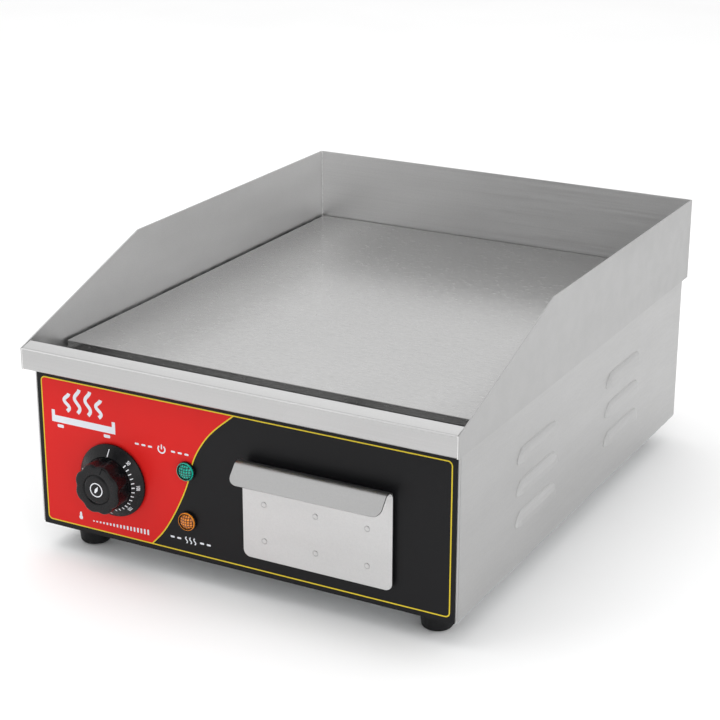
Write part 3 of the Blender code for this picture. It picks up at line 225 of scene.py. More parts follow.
def moulded(name, colour, rough, gloss=0.3, grain=2200, bump=0.25):
    """Moulded plastic or rubber: an even tone with a fine grain and slightly uneven gloss."""
    f = Finish(name).set(Specular_IOR_Level=gloss)
    cloud = f.noise(55, 3)
    f.colour(f.ramp(cloud, [(0.3, tuple(c * 0.86 for c in colour)),
                            (0.7, tuple(c * 1.12 for c in colour))]))
    f.rough(f.span(f.noise(160, 3), rough - 0.05, rough + 0.07))
    f.bump((f.noise(grain, 2), bump, 0.00004), (f.noise(60, 2), 0.15, 0.0002))
    return f.material


def printed(name, colour, rough=0.34):
    """Printed label film: even ink under a satin film with a slight orange peel."""
    f = Finish(name).set(Specular_IOR_Level=0.16)
    cloud = f.noise(11, 3)
    f.colour(f.ramp(cloud, [(0.3, tuple(c * 0.94 for c in colour)),
                            (0.7, tuple(min(1, c * 1.04) for c in colour))]))
    f.rough(f.span(f.noise(320, 3), rough - 0.04, rough + 0.05))
    f.bump((f.noise(900, 2), 0.12, 0.00003), (f.noise(16, 2), 0.2, 0.0003))
    return f.material


LENS_GRID = 2.0 * MM


def lens(name, dark, bright, x, z):
    """Coloured clear plastic with a fine grid of dark lines moulded in its depth, round (x, z)."""
    f = Finish(name).set(Coat_Weight=0.25, Coat_Roughness=0.06, IOR=1.49,
                         Specular_IOR_Level=0.35, Roughness=0.14)
    tone = f.ramp(f.noise(260, 2), [(0.35, tuple(c * 0.55 for c in bright)), (0.65, bright)])
    for axis, centre in (("X", x), ("Z", z)):
        grid = f.nodes.new("ShaderNodeTexWave")
        grid.bands_direction = axis
        grid.inputs["Scale"].default_value = math.pi / 10 / LENS_GRID
        grid.inputs["Distortion"].default_value = 0.0
        grid.inputs["Phase Offset"].default_value = (TURN / 4 - centre * TURN / LENS_GRID) % TURN
        f.links.new(f.coords, grid.inputs["Vector"])
        lines = f.ramp(grid.outputs["Fac"], [(0.10, grey(0.05)), (0.42, grey(1.0))])
        tone = f.mix(tone, lines)
    f.colour(f.mix(tone, f.ramp(f.noise(20, 1), [(0, dark), (1, dark)]), "ADD"))
    f.bump((f.noise(700, 2), 0.1, 0.00003))
    return f.material


def galvanised():
    """Zinc coated sheet with its spangle."""
    f = Finish("galvanised_spangle").set(Metallic=1.0)
    cell = f.nodes.new("ShaderNodeTexVoronoi")
    cell.inputs["Scale"].default_value = 260
    f.links.new(f.coords, cell.inputs["Vector"])
    tone = f.ramp(cell.outputs["Distance"], [(0.0, (0.44, 0.46, 0.47)), (0.8, (0.62, 0.64, 0.65))])
    f.colour(tone)
    f.rough(f.span(f.noise(90, 3), 0.38, 0.55))
    f.bump((f.noise(700, 3), 0.2, 0.00005))
    return f.material


def plated(name, colour, rough):
    """Plated or bare metal of one colour."""
    f = Finish(name).set(Metallic=1.0)
    f.colour(f.ramp(f.noise(120, 3), [(0.3, tuple(c * 0.85 for c in colour)), (0.7, colour)]))
    f.rough(f.span(f.noise(260, 3), rough - 0.06, rough + 0.10))
    f.bump((f.noise(900, 3), 0.18, 0.00004))
    return f.material


def fibrous(name, colour):
    """Mineral fibre felt."""
    f = Finish(name).set(Roughness=0.95, Sheen_Weight=0.3)
    hair = f.noise((500, 90, 500), 5, 0.7)
    f.colour(f.ramp(hair, [(0.3, tuple(c * 0.8 for c in colour)), (0.7, colour)]))
    f.bump((hair, 0.6, 0.0006), (f.noise(1500, 3), 0.4, 0.0002))
    return f.material


ACROSS = (5, 900, 900)      # grain runs along X
ALONG = (900, 5, 900)       # grain runs along Y
GUARD_GRAIN = (500, 60, 60)
INNER_FACE_PAINTED_LIGHT = (1.65, 0.3, 0.7)   # painted light: how much brighter a guard's inner face is painted, and between which cosines

CASING = rolled_steel("casing_sheet", 0.495, 0.42, (60, 60, 700), 0.04, 0.7)
GUARD_LEFT = rolled_steel("left_guard_sheet", 0.46, 0.40, GUARD_GRAIN, 0.04, 0.5, [((1, 0, 0), *INNER_FACE_PAINTED_LIGHT)])
GUARD_RIGHT = rolled_steel("right_guard_sheet", 0.46, 0.42, GUARD_GRAIN, 0.04, 0.5, [((-1, 0, 0), *INNER_FACE_PAINTED_LIGHT)])
GUARD_BACK = rolled_steel("rear_guard_sheet", 0.46, 0.38, (6, 700, 700), 0.05, 0.4,
                          [((0, -1, 0), *INNER_FACE_PAINTED_LIGHT)])
# Painted highlight: the rail's front bend is painted up to 1.7 times brighter, and its top up to 1.12 times
# brighter.
RAIL = rolled_steel("rail_sheet", 0.545, 0.40, ACROSS, 0.08, 0.9,
                    [((0, -0.87, 0.5), 1.7, 0.93, 0.99), ((0, -0.2, 0.98), 1.12, 0.85, 0.97)])
# Polished weld metal; its near-white tone is partly a painted highlight on the rail's corners.
POLISHED_WELD_AND_HIGHLIGHT = rolled_steel("polished_weld_painted_highlight", 0.92, 0.22, (300, 300, 900), 0.06, 0.4)
WELD = rolled_steel("weld_bead", 0.72, 0.32, (900, 900, 500), 0.20, 0.5)
DRAWER = rolled_steel("drawer_sheet", 0.59, 0.33, (60, 300, 300), 0.03, 0.2)
SPOT = rolled_steel("spot_weld", 0.52, 0.32, (700, 700, 700), 0.15, 0.3)
INNER = rolled_steel("inner_sheet", 0.52, 0.42, ALONG, 0.06, 0.5)
PLATE = ground_steel()
GALVANISED = galvanised()
ZINC = plated("zinc_plate", (0.70, 0.71, 0.72), 0.30)
SHEATH = plated("element_sheath_oxide", (0.20, 0.17, 0.15), 0.50)
COPPER = plated("bare_copper", (0.76, 0.42, 0.29), 0.32)
BLACK = moulded("dial_plastic", (0.005, 0.005, 0.006), 0.28, 0.25)
# Painted shade: a near-black matte strip stands in for the shade in the grip's groove.
GROOVE_PAINTED_SHADE = moulded("dial_groove_painted_shade", (0.001, 0.001, 0.001), 0.7, 0.04)
GLAND = moulded("gland_nylon", (0.020, 0.020, 0.022), 0.45)
RUBBER = moulded("foot_rubber", (0.008, 0.008, 0.009), 0.60, 0.25, 1500, 0.5)
WHITE_PLASTIC = moulded("switch_white", (0.74, 0.73, 0.69), 0.42)
FIBRE = fibrous("ceramic_blanket", (0.88, 0.87, 0.82))
WIRE = moulded("wire_sleeve", (0.42, 0.09, 0.05), 0.55)
FILM_BLACK = printed("label_black", (0.0085, 0.0085, 0.0095), 0.36)
FILM_RED = printed("label_red", (0.665, 0.014, 0.012))
FILM_YELLOW = printed("label_yellow", (0.72, 0.55, 0.035), 0.42)
FILM_WHITE = printed("label_white", (0.74, 0.77, 0.82), 0.40)
SCALE = printed("dial_scale_white", (0.82, 0.84, 0.88), 0.50)

# ---------------------------------------------------------------- helpers


def piece(name, shape, material, body, replaces=(), smooth=35):
    """A new piece, from a mesh or a bmesh, that rides on a body."""
    mesh = closed(name, shape) if isinstance(shape, bmesh.types.BMesh) else shape
    obj = bpy.data.objects.new(name, mesh)
    bpy.context.scene.collection.objects.link(obj)
    mesh.materials.clear()
    mesh.materials.append(material)
    mesh.shade_smooth()
    mesh.set_sharp_from_angle(angle=math.radians(smooth))
    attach(obj, body)
    if replaces:
        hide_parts(*replaces)


def closed(name, bm):
    """A bmesh of closed skins as a mesh, with its normals outwards."""
    bmesh.ops.recalc_face_normals(bm, faces=bm.faces)
    mesh = bpy.data.meshes.new(name)
    bm.to_mesh(mesh)
    bm.free()
    return mesh


def as_mesh(name, data):
    """The mesh of a curve or a text."""
    holder = bpy.data.objects.new(name, data)
    bpy.context.scene.collection.objects.link(holder)
    bpy.context.view_layer.update()
    mesh = bpy.data.meshes.new_from_object(holder.evaluated_get(
        bpy.context.evaluated_depsgraph_get()))
    bpy.data.objects.remove(holder)
    return mesh


def facing_front(x, z, y=FRONT_Y):
    """Local x right, y up, z towards the front, at a place on the panel."""
    return Matrix(((1, 0, 0, x), (0, 0, -1, y), (0, 1, 0, z), (0, 0, 0, 1)))


def facing_back(x, z, y):
    """Local x left, y up, z towards the back."""
    return Matrix(((-1, 0, 0, x), (0, 0, 1, y), (0, 1, 0, z), (0, 0, 0, 1)))


def mm(rows):
    """Rows in millimetres as rows in metres."""
    return [tuple(value * MM for value in row) for row in rows]


def angles(count):
    """A full turn in equal steps."""
    return [TURN * i / count for i in range(count)]


def bridge(bm, one, two):
    """Faces between two rings, one of which may be a single point."""
    count = max(len(one), len(two))
    for i in range(count):
        j = (i + 1) % count
        if len(one) == 1:
            bm.faces.new((one[0], two[i], two[j]))
        elif len(two) == 1:
            bm.faces.new((one[i], one[j], two[0]))
        else:
            bm.faces.new((one[i], one[j], two[j], two[i]))


def skin(bm, rings):
    """A skin through rings, with flat ends."""
    for one, two in zip(rings, rings[1:]):
        bridge(bm, one, two)
    bm.faces.new(rings[0])
    bm.faces.new(rings[-1])


def revolve(bm, rows, count, matrix, shaped=None):
    """Rows of (radius, height) turned about local Z; shaped(r, h, a) changes the radius with the angle."""
    rings = []
    for r, h in rows:
        if r == 0:
            rings.append([bm.verts.new(matrix @ Vector((0, 0, h)))])
            continue
        ring = []
        for a in angles(count):
            s = shaped(r, h, a) if shaped else r
            ring.append(bm.verts.new(matrix @ Vector((s * math.sin(a), s * math.cos(a), h))))
        rings.append(ring)
    for one, two in zip(rings, rings[1:]):
        bridge(bm, one, two)
    return rings


def arc(x, y, radius, start, end, steps=5):
    """Points on a circle round (x, y), between two angles in degrees."""
    turns = [math.radians(start + (end - start) * i / steps) for i in range(steps + 1)]
    return [(x + radius * math.cos(a), y + radius * math.sin(a)) for a in turns]


def circle(x, y, radius, count=48):
    """A closed circle."""
    return [(x + radius * math.cos(a), y + radius * math.sin(a)) for a in angles(count)]


def round_rect(x0, x1, y0, y1, radius, steps=6):
    """A rectangle with round corners."""
    loop = []
    for x, y, start in ((x1 - radius, y1 - radius, 0), (x0 + radius, y1 - radius, 90),
                        (x0 + radius, y0 + radius, 180), (x1 - radius, y0 + radius, 270)):
        loop += arc(x, y, radius, start, start + 90, steps)
    return loop


def smooth_line(points, samples):
    """A Catmull-Rom curve through points."""
    ends = [tuple(2 * a - b for a, b in zip(points[0], points[1])), *points,
            tuple(2 * a - b for a, b in zip(points[-1], points[-2]))]
    path = []
    for four in zip(ends, ends[1:], ends[2:], ends[3:]):
        for i in range(samples):
            t = i / samples
            path.append(tuple(0.5 * (2 * b + (c - a) * t + (2 * a - 5 * b + 4 * c - d) * t * t
                                     + (3 * b - a - 3 * c + d) * t ** 3)
                              for a, b, c, d in zip(*four)))
    path.append(tuple(points[-1]))
    return path


def stroke(path, width):
    """A line of (x, y) points as a closed outline of that width."""
    left, right = [], []
    for i, (x, y) in enumerate(path):
        ax, ay = path[max(0, i - 1)]
        bx, by = path[min(len(path) - 1, i + 1)]
        run = math.hypot(bx - ax, by - ay)
        nx, ny = -(by - ay) / run * width / 2, (bx - ax) / run * width / 2
        left.append((x + nx, y + ny))
        right.append((x - nx, y - ny))
    return left + right[::-1]


def wave(x, y, width, height, turns, steps=18):
    """An upright wavy line."""
    return [(x + width * math.sin(TURN * turns * i / steps), y + height * i / steps)
            for i in range(steps + 1)]


def flat(name, loops, thickness, matrix):
    """Filled loops of (x, y), inner ones as holes, as a thin closed mesh."""
    curve = bpy.data.curves.new(name, "CURVE")
    curve.dimensions = "2D"
    curve.fill_mode = "BOTH"
    curve.extrude = thickness / 2
    for loop in loops:
        spline = curve.splines.new("POLY")
        spline.points.add(len(loop) - 1)
        for point, (x, y) in zip(spline.points, loop):
            point.co = (x, y, 0, 1)
        spline.use_cyclic_u = True
    mesh = as_mesh(name, curve)
    mesh.transform(matrix)
    return mesh


def rounded_path(points, radius, steps=7):
    """A line of (x, y) points with its corners rounded."""
    path = [points[0]]
    for before, at, after in zip(points, points[1:], points[2:]):
        at = Vector(at)
        a, b = (Vector(before) - at).normalized(), (Vector(after) - at).normalized()
        half = a.angle(b) / 2
        centre = at + (a + b).normalized() * radius / math.sin(half)
        start = at + a * radius / math.tan(half) - centre
        sweep = math.pi - 2 * half
        if a.cross(b) < 0:
            sweep = -sweep
        first = math.atan2(start.y, start.x)
        for i in range(steps + 1):
            angle = first - sweep * i / steps
            path.append((centre.x + radius * math.cos(angle), centre.y + radius * math.sin(angle)))
    path.append(points[-1])
    return path


def bent(rows, columns, thickness, outward):
    """A sheet through rows of (left, right, y, z); outward is the side that takes its thickness."""
    bm = bmesh.new()
    sides = []
    for side in (0, 1):
        grid = []
        for i, (x0, x1, y, z) in enumerate(rows):
            before, after = rows[max(0, i - 1)], rows[min(len(rows) - 1, i + 1)]
            run = Vector((after[2] - before[2], after[3] - before[3])).normalized()
            off = Vector((run.y, -run.x)) * outward * thickness * side
            grid.append([bm.verts.new((x0 + (x1 - x0) * j / columns, y + off.x, z + off.y))
                         for j in range(columns + 1)])
        sides.append(grid)
    inner, outer = sides
    last = len(rows) - 1
    for i in range(last):
        for j in range(columns):
            bm.faces.new((inner[i][j], inner[i][j + 1], inner[i + 1][j + 1], inner[i + 1][j]))
            bm.faces.new((outer[i + 1][j], outer[i + 1][j + 1], outer[i][j + 1], outer[i][j]))
        for j in (0, columns):
            bm.faces.new((inner[i][j], inner[i + 1][j], outer[i + 1][j], outer[i][j]))
    for j in range(columns):
        for i in (0, last):
            bm.faces.new((inner[i][j], outer[i][j], outer[i][j + 1], inner[i][j + 1]))
    return bm


def bead(bm, x, y, rows, sides):
    """An upright weld bead round (x, y), through rows of (height, radius)."""
    skin(bm, [[bm.verts.new((x + r * math.cos(a), y + r * math.sin(a), z)) for a in angles(sides)]
              for z, r in rows])


# ---------------------------------------------------------------- CAD nodes that stay

CARRIED = {
    CASING: ["body_shell", "front_panel", "support_ring"],
    GUARD_LEFT: ["guard_left"],
    GUARD_RIGHT: ["guard_right"],
    GUARD_BACK: ["guard_rear"],
    INNER: ["grease_trough", "drain_spout", "drawer_tray"],
    PLATE: ["griddle_plate"],
    GALVANISED: ["base_plate", "clamp_bar_front", "clamp_bar_rear", "heat_shield",
                 "drawer_runner_left", "drawer_runner_right"],
    ZINC: ["thermostat_spindle", "thermostat_screw_lower", "thermostat_screw_upper",
           "power_lamp_clip", "hot_lamp_clip"],
    SHEATH: ["heating_element_left", "heating_element_right"],
    COPPER: ["sensing_bulb"],
    FILM_BLACK: ["panel_label"],
    BLACK: ["power_lamp_housing", "hot_lamp_housing"],
    GLAND: ["gland_locknut"],
    FIBRE: ["insulation_blanket"],
    WHITE_PLASTIC: ["thermostat_body", "terminal_block"],
    WIRE: ["wire_live", "wire_load", "wire_link", "wire_neutral", "wire_earth"],
}
CORNERS = [f"{end}_{side}" for end in ("front", "rear") for side in ("left", "right")]
for corner in CORNERS:
    CARRIED[ZINC] += [f"plate_stud_{corner}", f"clamp_nut_{corner}", f"foot_screw_{corner}"]
for material, names in CARRIED.items():
    for name in names:
        mesh = NODES[name].data
        mesh.materials.clear()
        mesh.materials.append(material)

GUARD_EDGE = 0.28 * MM      # rounding of the guards' cut edges

for name in ("guard_left", "guard_right", "guard_rear"):
    weld = NODES[name].modifiers.new("weld", "WELD")
    weld.merge_threshold = 0.01 * MM
    bevel = NODES[name].modifiers.new("edge", "BEVEL")
    bevel.width = GUARD_EDGE
    bevel.segments = 2
    bevel.limit_method = "ANGLE"
    bevel.angle_limit = math.radians(40)
    bevel.harden_normals = True

# ---------------------------------------------------------------- printed label

INK = 0.02 * MM             # thickness of a printed layer
LINE = 0.95 * MM            # width of the yellow lines
FRAME_HALF = 170.5          # yellow frame: half width, heights and corners, in millimetres
FRAME_LOW = 4.6
FRAME_HIGH = 121
FRAME_CORNER = 3.4
LABEL_THICK = 0.4 * MM
SHADE_STRIP_START = 0.3 * MM        # the painted shade strip under the label starts above the base plate's underside
DIAL_HOLE = 19 * MM
SWEEP = ((-1.5, FRAME_HIGH), (-17, 107.6), (-26.5, 97), (-34.5, 84), (-39, 72), (-42.2, 60),
         (-48.5, 45), (-56.8, 29), (-65.2, 16), (-75.3, FRAME_LOW))


def on_panel(points):
    """Points in millimetres from the panel's middle and lower edge, in metres."""
    return [(x * MM, PANEL_LOW + z * MM) for x, z in points]


def print_on_label(name, loops, proud, material):
    """A printed layer that stands proud of the label by some millimetres."""
    mesh = flat(name, loops, INK, facing_front(0, 0, FRONT_Y - proud * MM))
    piece(name, mesh, material, "casing")


def pictogram(name, loops, x, z, scale=1.0):
    """A white sign in millimetres round (x, z) on the panel."""
    moved = [on_panel([(x + a * scale, z + b * scale) for a, b in loop]) for loop in loops]
    print_on_label(name, moved, 0.06, FILM_WHITE)


def frame_outline(grow):
    """The frame's outline, moved outwards by some millimetres."""
    return on_panel(round_rect(-FRAME_HALF - grow, FRAME_HALF + grow, FRAME_LOW - grow, FRAME_HIGH + grow,
                               FRAME_CORNER + grow))


def dashes(lefts):
    """Short bars that start at some places along a line."""
    return [round_rect(a, a + 3.6, -0.75, 0.75, 0.7) for a in lefts]


# Painted shade: a black film strip under the label darkens the panel's lower edge.
painted_edge_shade = round_rect(low("panel_label").x, high("panel_label").x, PANEL_LOW + SHADE_STRIP_START, low("panel_label").z,
                 0.2 * MM)
painted_edge_shade = flat("label_lower_edge_painted_shade", [painted_edge_shade], LABEL_THICK, facing_front(0, 0, FRONT_Y + LABEL_THICK / 2))
piece("label_lower_edge_painted_shade", painted_edge_shade, FILM_BLACK, "casing")

KNOB_X, KNOB_Z = middle("knob").x, middle("knob").z
sweep = smooth_line(on_panel(SWEEP), 7)
inner = FRAME_CORNER - FRAME_HALF
red = arc(inner, FRAME_HIGH - FRAME_CORNER, FRAME_CORNER, 90, 180, 6)
red += arc(inner, FRAME_LOW + FRAME_CORNER, FRAME_CORNER, 180, 270, 6)
red = on_panel(red) + sweep[::-1]
print_on_label("label_red_field", [red, circle(KNOB_X, KNOB_Z, DIAL_HOLE)], 0.03, FILM_RED)
half_line = LINE / MM / 2
print_on_label("label_frame_line", [frame_outline(half_line), frame_outline(-half_line)], 0.06, FILM_YELLOW)
print_on_label("label_sweep_line", [stroke(sweep, LINE)], 0.05, FILM_YELLOW)

steam = [stroke(wave(x, 13, 2.4, h, 1.25), 3.0) for x, h in ((-15, 15), (-5, 20), (5, 20), (15, 15))]
tray = [(-27, 12), (-30, 12), (-30, 2), (30, 2), (30, 12), (27, 12), (27, 7.6), (-27, 7.6)]
tray_feet = [round_rect(x, x + 6, -2.2, 0.4, 0.8) for x in (-25, 19)]
pictogram("label_emblem", [*steam, tray, *tray_feet], -133.5, 84.5, 0.96)
ring = [(2.3 * math.sin(math.radians(a)), 2.3 * math.cos(math.radians(a))) for a in range(38, 323, 12)]
pictogram("label_power_sign", [stroke(ring, 0.85), round_rect(-0.42, 0.42, -0.1, 2.9, 0.3)], -64, 83, 1.3)
pictogram("label_power_dashes", dashes((-23.5, -17.7, -11.9, 8.3, 14.1, 19.9)), -64, 83)
heat = [stroke(wave(x, -2.5, 0.8, 5.0, 1), 0.95) for x in (-3.6, 0, 3.6)]
pictogram("label_heat_sign", heat, -41, 14.5)
pictogram("label_heat_dashes", dashes((-17.6, -11.8, 8.2, 14.0)), -41, 14.5)
rising_bars = [round_rect(i * 3.1, i * 3.1 + 1.5, -2.3, -1.3 + i * 0.21, 0.3) for i in range(17)]
pictogram("label_dial_wedge", rising_bars, -129, 13)
thermometer = arc(0, 2.4, 1.0, 0, 180, 9) + arc(0, -1.2, 1.7, 126, 414, 18)
pictogram("label_dial_sign", [thermometer], -140, 13)

# ---------------------------------------------------------------- dial, in millimetres round its axis

DIAL = facing_front(KNOB_X, KNOB_Z)
REACH = (FRONT_Y - low("knob").y) / MM              # height of its face over the label
SKIRT_R = (high("knob").x - low("knob").x) / 2 / MM
SKIRT_BACK = (FRONT_Y - high("knob").y) / MM
CONE_IN = (20.6, 8.1)       # radius and height of the cone that carries the scale
CONE_OUT = (SKIRT_R - 0.35, 3.05)
GRIP_R = 20.0
SHOULDER = 1.8              # rounding between the grip's side and face
FLUTES = 8
FLUTE_INNER = 15.5          # flutes end on the face at this radius
FLUTE_FOOT = 9.1            # and start at this height
FLUTE_DEPTH = 1.35
FLUTE_DEEPER = 0.95         # added at the foot
SCALE_START = 43            # degrees, clockwise from the top
SCALE_STEP = 9.4
SCALE_MARKS = 26
MARKS_PER_NUMBER = 5
NUMBER_R = 25.0


def cone_height(r):
    """Height of the skirt's cone at a radius."""
    t = (r - CONE_OUT[0]) / (CONE_IN[0] - CONE_OUT[0])
    return CONE_OUT[1] + t * (CONE_IN[1] - CONE_OUT[1])


def on_cone(r, across, turn, lift):
    """A point on the skirt's cone, at an angle from the top, moved across it and lifted."""
    x = r * math.sin(turn) + across * math.cos(turn)
    y = r * math.cos(turn) - across * math.sin(turn)
    return DIAL @ (Vector((x, y, cone_height(r) + lift)) * MM)


def fluted(r, h, a):
    """Soft flutes that start above the grip's round foot, deepest there."""
    if r < FLUTE_INNER * MM or h < FLUTE_FOOT * MM:
        return r
    dip = (0.5 * (1 + math.cos(FLUTES * a))) ** 1.6
    depth = FLUTE_DEPTH + FLUTE_DEEPER * (1 - (h / MM - FLUTE_FOOT) / (REACH - FLUTE_FOOT))
    return r - depth * MM * dip


bm = bmesh.new()
skirt = [(24.5, SKIRT_BACK), (SKIRT_R - 0.3, SKIRT_BACK), (SKIRT_R, SKIRT_BACK + 0.3),
         *arc(SKIRT_R - 0.45, 2.55, 0.45, 0, 62, 4), CONE_OUT,
         *[(r, cone_height(r)) for r in (26.5, 24.5, 22.5)], CONE_IN, (20.3, 7.9), (20.2, 6.6),
         (18.6, 6.5)]
revolve(bm, mm(skirt), 128, DIAL)
revolve(bm, mm([(26.3, SKIRT_BACK), (18.6, 6.0)]), 128, DIAL)
piece("dial_skirt", bm, BLACK, "dial", ("knob",))

bm = bmesh.new()
grip = [(18.4, 6.4), (19.7, 6.6), (GRIP_R, 6.9), (GRIP_R, 9.0), (GRIP_R, 9.15), (GRIP_R, 9.4),
        (GRIP_R, 12), (GRIP_R - 0.05, 16), (GRIP_R - 0.15, 20.6),
        *arc(GRIP_R - 0.15 - SHOULDER, REACH - SHOULDER, SHOULDER, 0, 90, 7), (15.7, REACH),
        (12.4, REACH - 0.03), *arc(11.9, REACH - 0.45, 0.42, 90, 0, 3)[1:], (11.9, REACH - 0.7),
        (11.6, REACH - 0.95), (0, REACH - 0.95)]
revolve(bm, mm(grip), 384, DIAL, fluted)
piece("dial_grip", bm, BLACK, "dial")

# painted shade of the groove on the grip's face, as a flat dark strip
groove = mm(stroke([(3.8, 13.1), (4.9, 15.6), (6.0, 18.2)], 0.55))
groove = flat("dial_groove_painted_shade", [groove], 0.06 * MM, facing_front(KNOB_X, KNOB_Z, FRONT_Y - REACH * MM))
piece("dial_groove_painted_shade", groove, GROOVE_PAINTED_SHADE, "dial")

bm = bmesh.new()
disc = [(0, REACH - 1.0), (11.7, REACH - 1.0), (11.6, REACH - 0.85), (11.3, REACH - 0.7),
        (10.1, REACH - 0.14), (9.7, REACH - 0.05), (9.2, REACH - 0.02), (0, REACH)]
revolve(bm, mm(disc), 96, DIAL)
piece("dial_disc", bm, BLACK, "dial", ("knob_badge",))

lean = Matrix.Rotation(-0.5, 2)
needle = [tuple(lean @ Vector(point)) for point in
          ((-0.6, -2.7), (0.6, -2.7), (1.25, 0.2), (0, 3.3), (-1.25, 0.2))]
mark = [mm(loop) for loop in (circle(0, 0, 5.6), circle(0, 0, 4.8), needle)]
mark = flat("dial_disc_mark", mark, 0.05 * MM, facing_front(KNOB_X, KNOB_Z, FRONT_Y - (REACH + 0.03) * MM))
piece("dial_disc_mark", mark, SCALE, "dial")

bm = bmesh.new()
marks = [(SCALE_START + SCALE_STEP * i, 20.95, 22.9, 0.36 if i % MARKS_PER_NUMBER else 0.46)
         for i in range(SCALE_MARKS)]
marks.append((0, 20.8, 26.0, 0.34))     # the pointer
for turn, r0, r1, half in marks:
    corners = [bm.verts.new(on_cone(r, across, math.radians(turn), lift))
               for r, across in ((r0, -half), (r1, -half), (r1, half), (r0, half))
               for lift in (-0.05, 0.04)]
    for face in ((1, 3, 5, 7), (0, 2, 3, 1), (2, 4, 5, 3), (4, 6, 7, 5), (6, 0, 1, 7)):
        bm.faces.new([corners[k] for k in face])
piece("dial_scale_marks", bm, SCALE, "dial")

bm = bmesh.new()
for k in range(6):
    text = bpy.data.curves.new("dial_number", "FONT")
    text.body = str(50 * (k + 1))
    text.size = 4.0 * MM
    text.align_x, text.align_y = "CENTER", "CENTER"
    text.offset = 0.06 * MM
    mesh = as_mesh("dial_number", text)
    turn = math.radians(SCALE_START + SCALE_STEP * MARKS_PER_NUMBER * k)
    for v in mesh.vertices:
        r = NUMBER_R + v.co.y / MM * 0.82
        v.co = on_cone(r, 0, turn + v.co.x / MM * 0.72 / NUMBER_R, 0.04)
    bm.from_mesh(mesh)
numbers = bpy.data.meshes.new("dial_numbers")
bm.to_mesh(numbers)
bm.free()
piece("dial_numbers", numbers, SCALE, "dial")

# ---------------------------------------------------------------- indicator lamps, in millimetres

LENS_R = 5.65
LENS_EDGE = 0.7             # height of the lens's side
PRISM = 0.35                # height of the small pyramids in its face
LENS_RINGS = 40
LENS_SIDES = 120
COLLAR = [(6.45, 2.2), (6.45, 3.4), (6.55, 3.5), (6.75, 3.4), (6.92, 3.1), (6.95, 2.2)]
INNER_BEZEL = [(5.7, 1.2), (6.4, 1.2), (6.4, 3.3), (6.3, 3.38), (6.2, 2.5), (5.7, 2.3)]
OUTER_BEZEL = [(6.6, 0.3), (7.38, 0.3), (7.4, 0.9), (7.38, 1.55), (7.3, 1.8), (7.0, 1.9), (6.6, 1.9)]


def prism_lens(at, back, tip):
    """A domed lens whose face is a grid of small pyramids."""
    bm = bmesh.new()
    side = [(0, back), (LENS_R, back), (LENS_R, back + LENS_EDGE)]
    last = revolve(bm, mm(side), LENS_SIDES, at)[-1]
    for k in range(1, LENS_RINGS):
        r = LENS_R * (1 - k / LENS_RINGS)
        dome = (tip - back - 1.1) * (1 - (r / LENS_R) ** 2)
        ring = []
        for a in angles(LENS_SIDES):
            x, y = r * math.sin(a), r * math.cos(a)
            u, v = x * MM / LENS_GRID, y * MM / LENS_GRID
            cut = max(abs(u - round(u)), abs(v - round(v))) * 2
            prism = PRISM * (1 - cut) * min(1, (LENS_R - r) / 0.6)
            ring.append(bm.verts.new(at @ (Vector((x, y, back + LENS_EDGE + dome + prism)) * MM)))
        bridge(bm, last, ring)
        last = ring
    bm.faces.new(last)
    return bm


for word, slot, dark, bright in (
        ("power", "green_lens", (0.0, 0.018, 0.015), (0.0, 0.50, 0.37)),
        ("hot", "amber_lens", (0.07, 0.014, 0.002), (0.95, 0.30, 0.02))):
    node = f"{word}_lamp_lens"
    cx, cz = middle(node).x, middle(node).z
    at = facing_front(cx, cz)
    shape = prism_lens(at, (FRONT_Y - high(node).y) / MM, (FRONT_Y - low(node).y) / MM)
    clear = lens(f"lens_{word}", dark, bright, cx, cz)
    piece(f"{word}_lamp_prism", shape, clear, "casing", (node,), 24)
    bm = bmesh.new()
    revolve(bm, mm([*COLLAR, COLLAR[0]]), 96, at)
    rim = moulded(f"lens_rim_{word}", tuple(c * 0.9 for c in bright), 0.16, 0.5)
    piece(f"{word}_lamp_collar", bm, rim, "casing")
    bm = bmesh.new()
    for ring in (INNER_BEZEL, OUTER_BEZEL):
        revolve(bm, mm([*ring, ring[0]]), 96, at)
    piece(f"{word}_lamp_bezel", bm, BLACK, "casing")

# ---------------------------------------------------------------- front rail

RAIL_SHEET = 1.0 * MM
RAIL_BEND = 1.7 * MM
RAIL_FACE = 16.8 * MM       # height of its upright face
RAIL_RETURN = 1.0 * MM      # its lower edge reaches this far in front of the label
RAIL_BACK_LEG = 14 * MM

rail_y, rail_low = low("drip_rail").y, low("drip_rail").z
face_top = rail_low + RAIL_FACE
back_y, rail_top = high("drip_rail").y, high("drip_rail").z
section = rounded_path([(FRONT_Y - RAIL_RETURN, rail_low), (rail_y, rail_low), (rail_y, face_top),
                        (back_y, rail_top), (back_y, rail_top - RAIL_BACK_LEG)], RAIL_BEND)
rail = bent([(low("drip_rail").x, high("drip_rail").x, y, z) for y, z in section], 36, RAIL_SHEET, 1)
piece("drip_rail_sheet", rail, RAIL, "casing", ("drip_rail",), 50)

# Rail corner welds: real beads, in a near-white tone that is partly a painted highlight.
bm = bmesh.new()
for side in (-1, 1):
    rows = []
    for i in range(15):
        wobble = 0.10 * math.sin(i * 2.1) + 0.06 * math.sin(i * 4.7)
        rows.append((rail_low + 0.1 * MM + (RAIL_FACE - 0.4 * MM) * i / 14, 0.85 * MM * (1 + 0.12 * wobble)))
    bead(bm, side * 178.95 * MM, rail_y + 0.86 * MM, rows, 12)
piece("rail_corner_welds", bm, POLISHED_WELD_AND_HIGHLIGHT, "casing")

# ---------------------------------------------------------------- guard seams

seam_low = high("griddle_plate").z + 0.4 * MM
seam_high = high("guard_rear").z - 0.3 * MM
SEAM_ROWS = 60

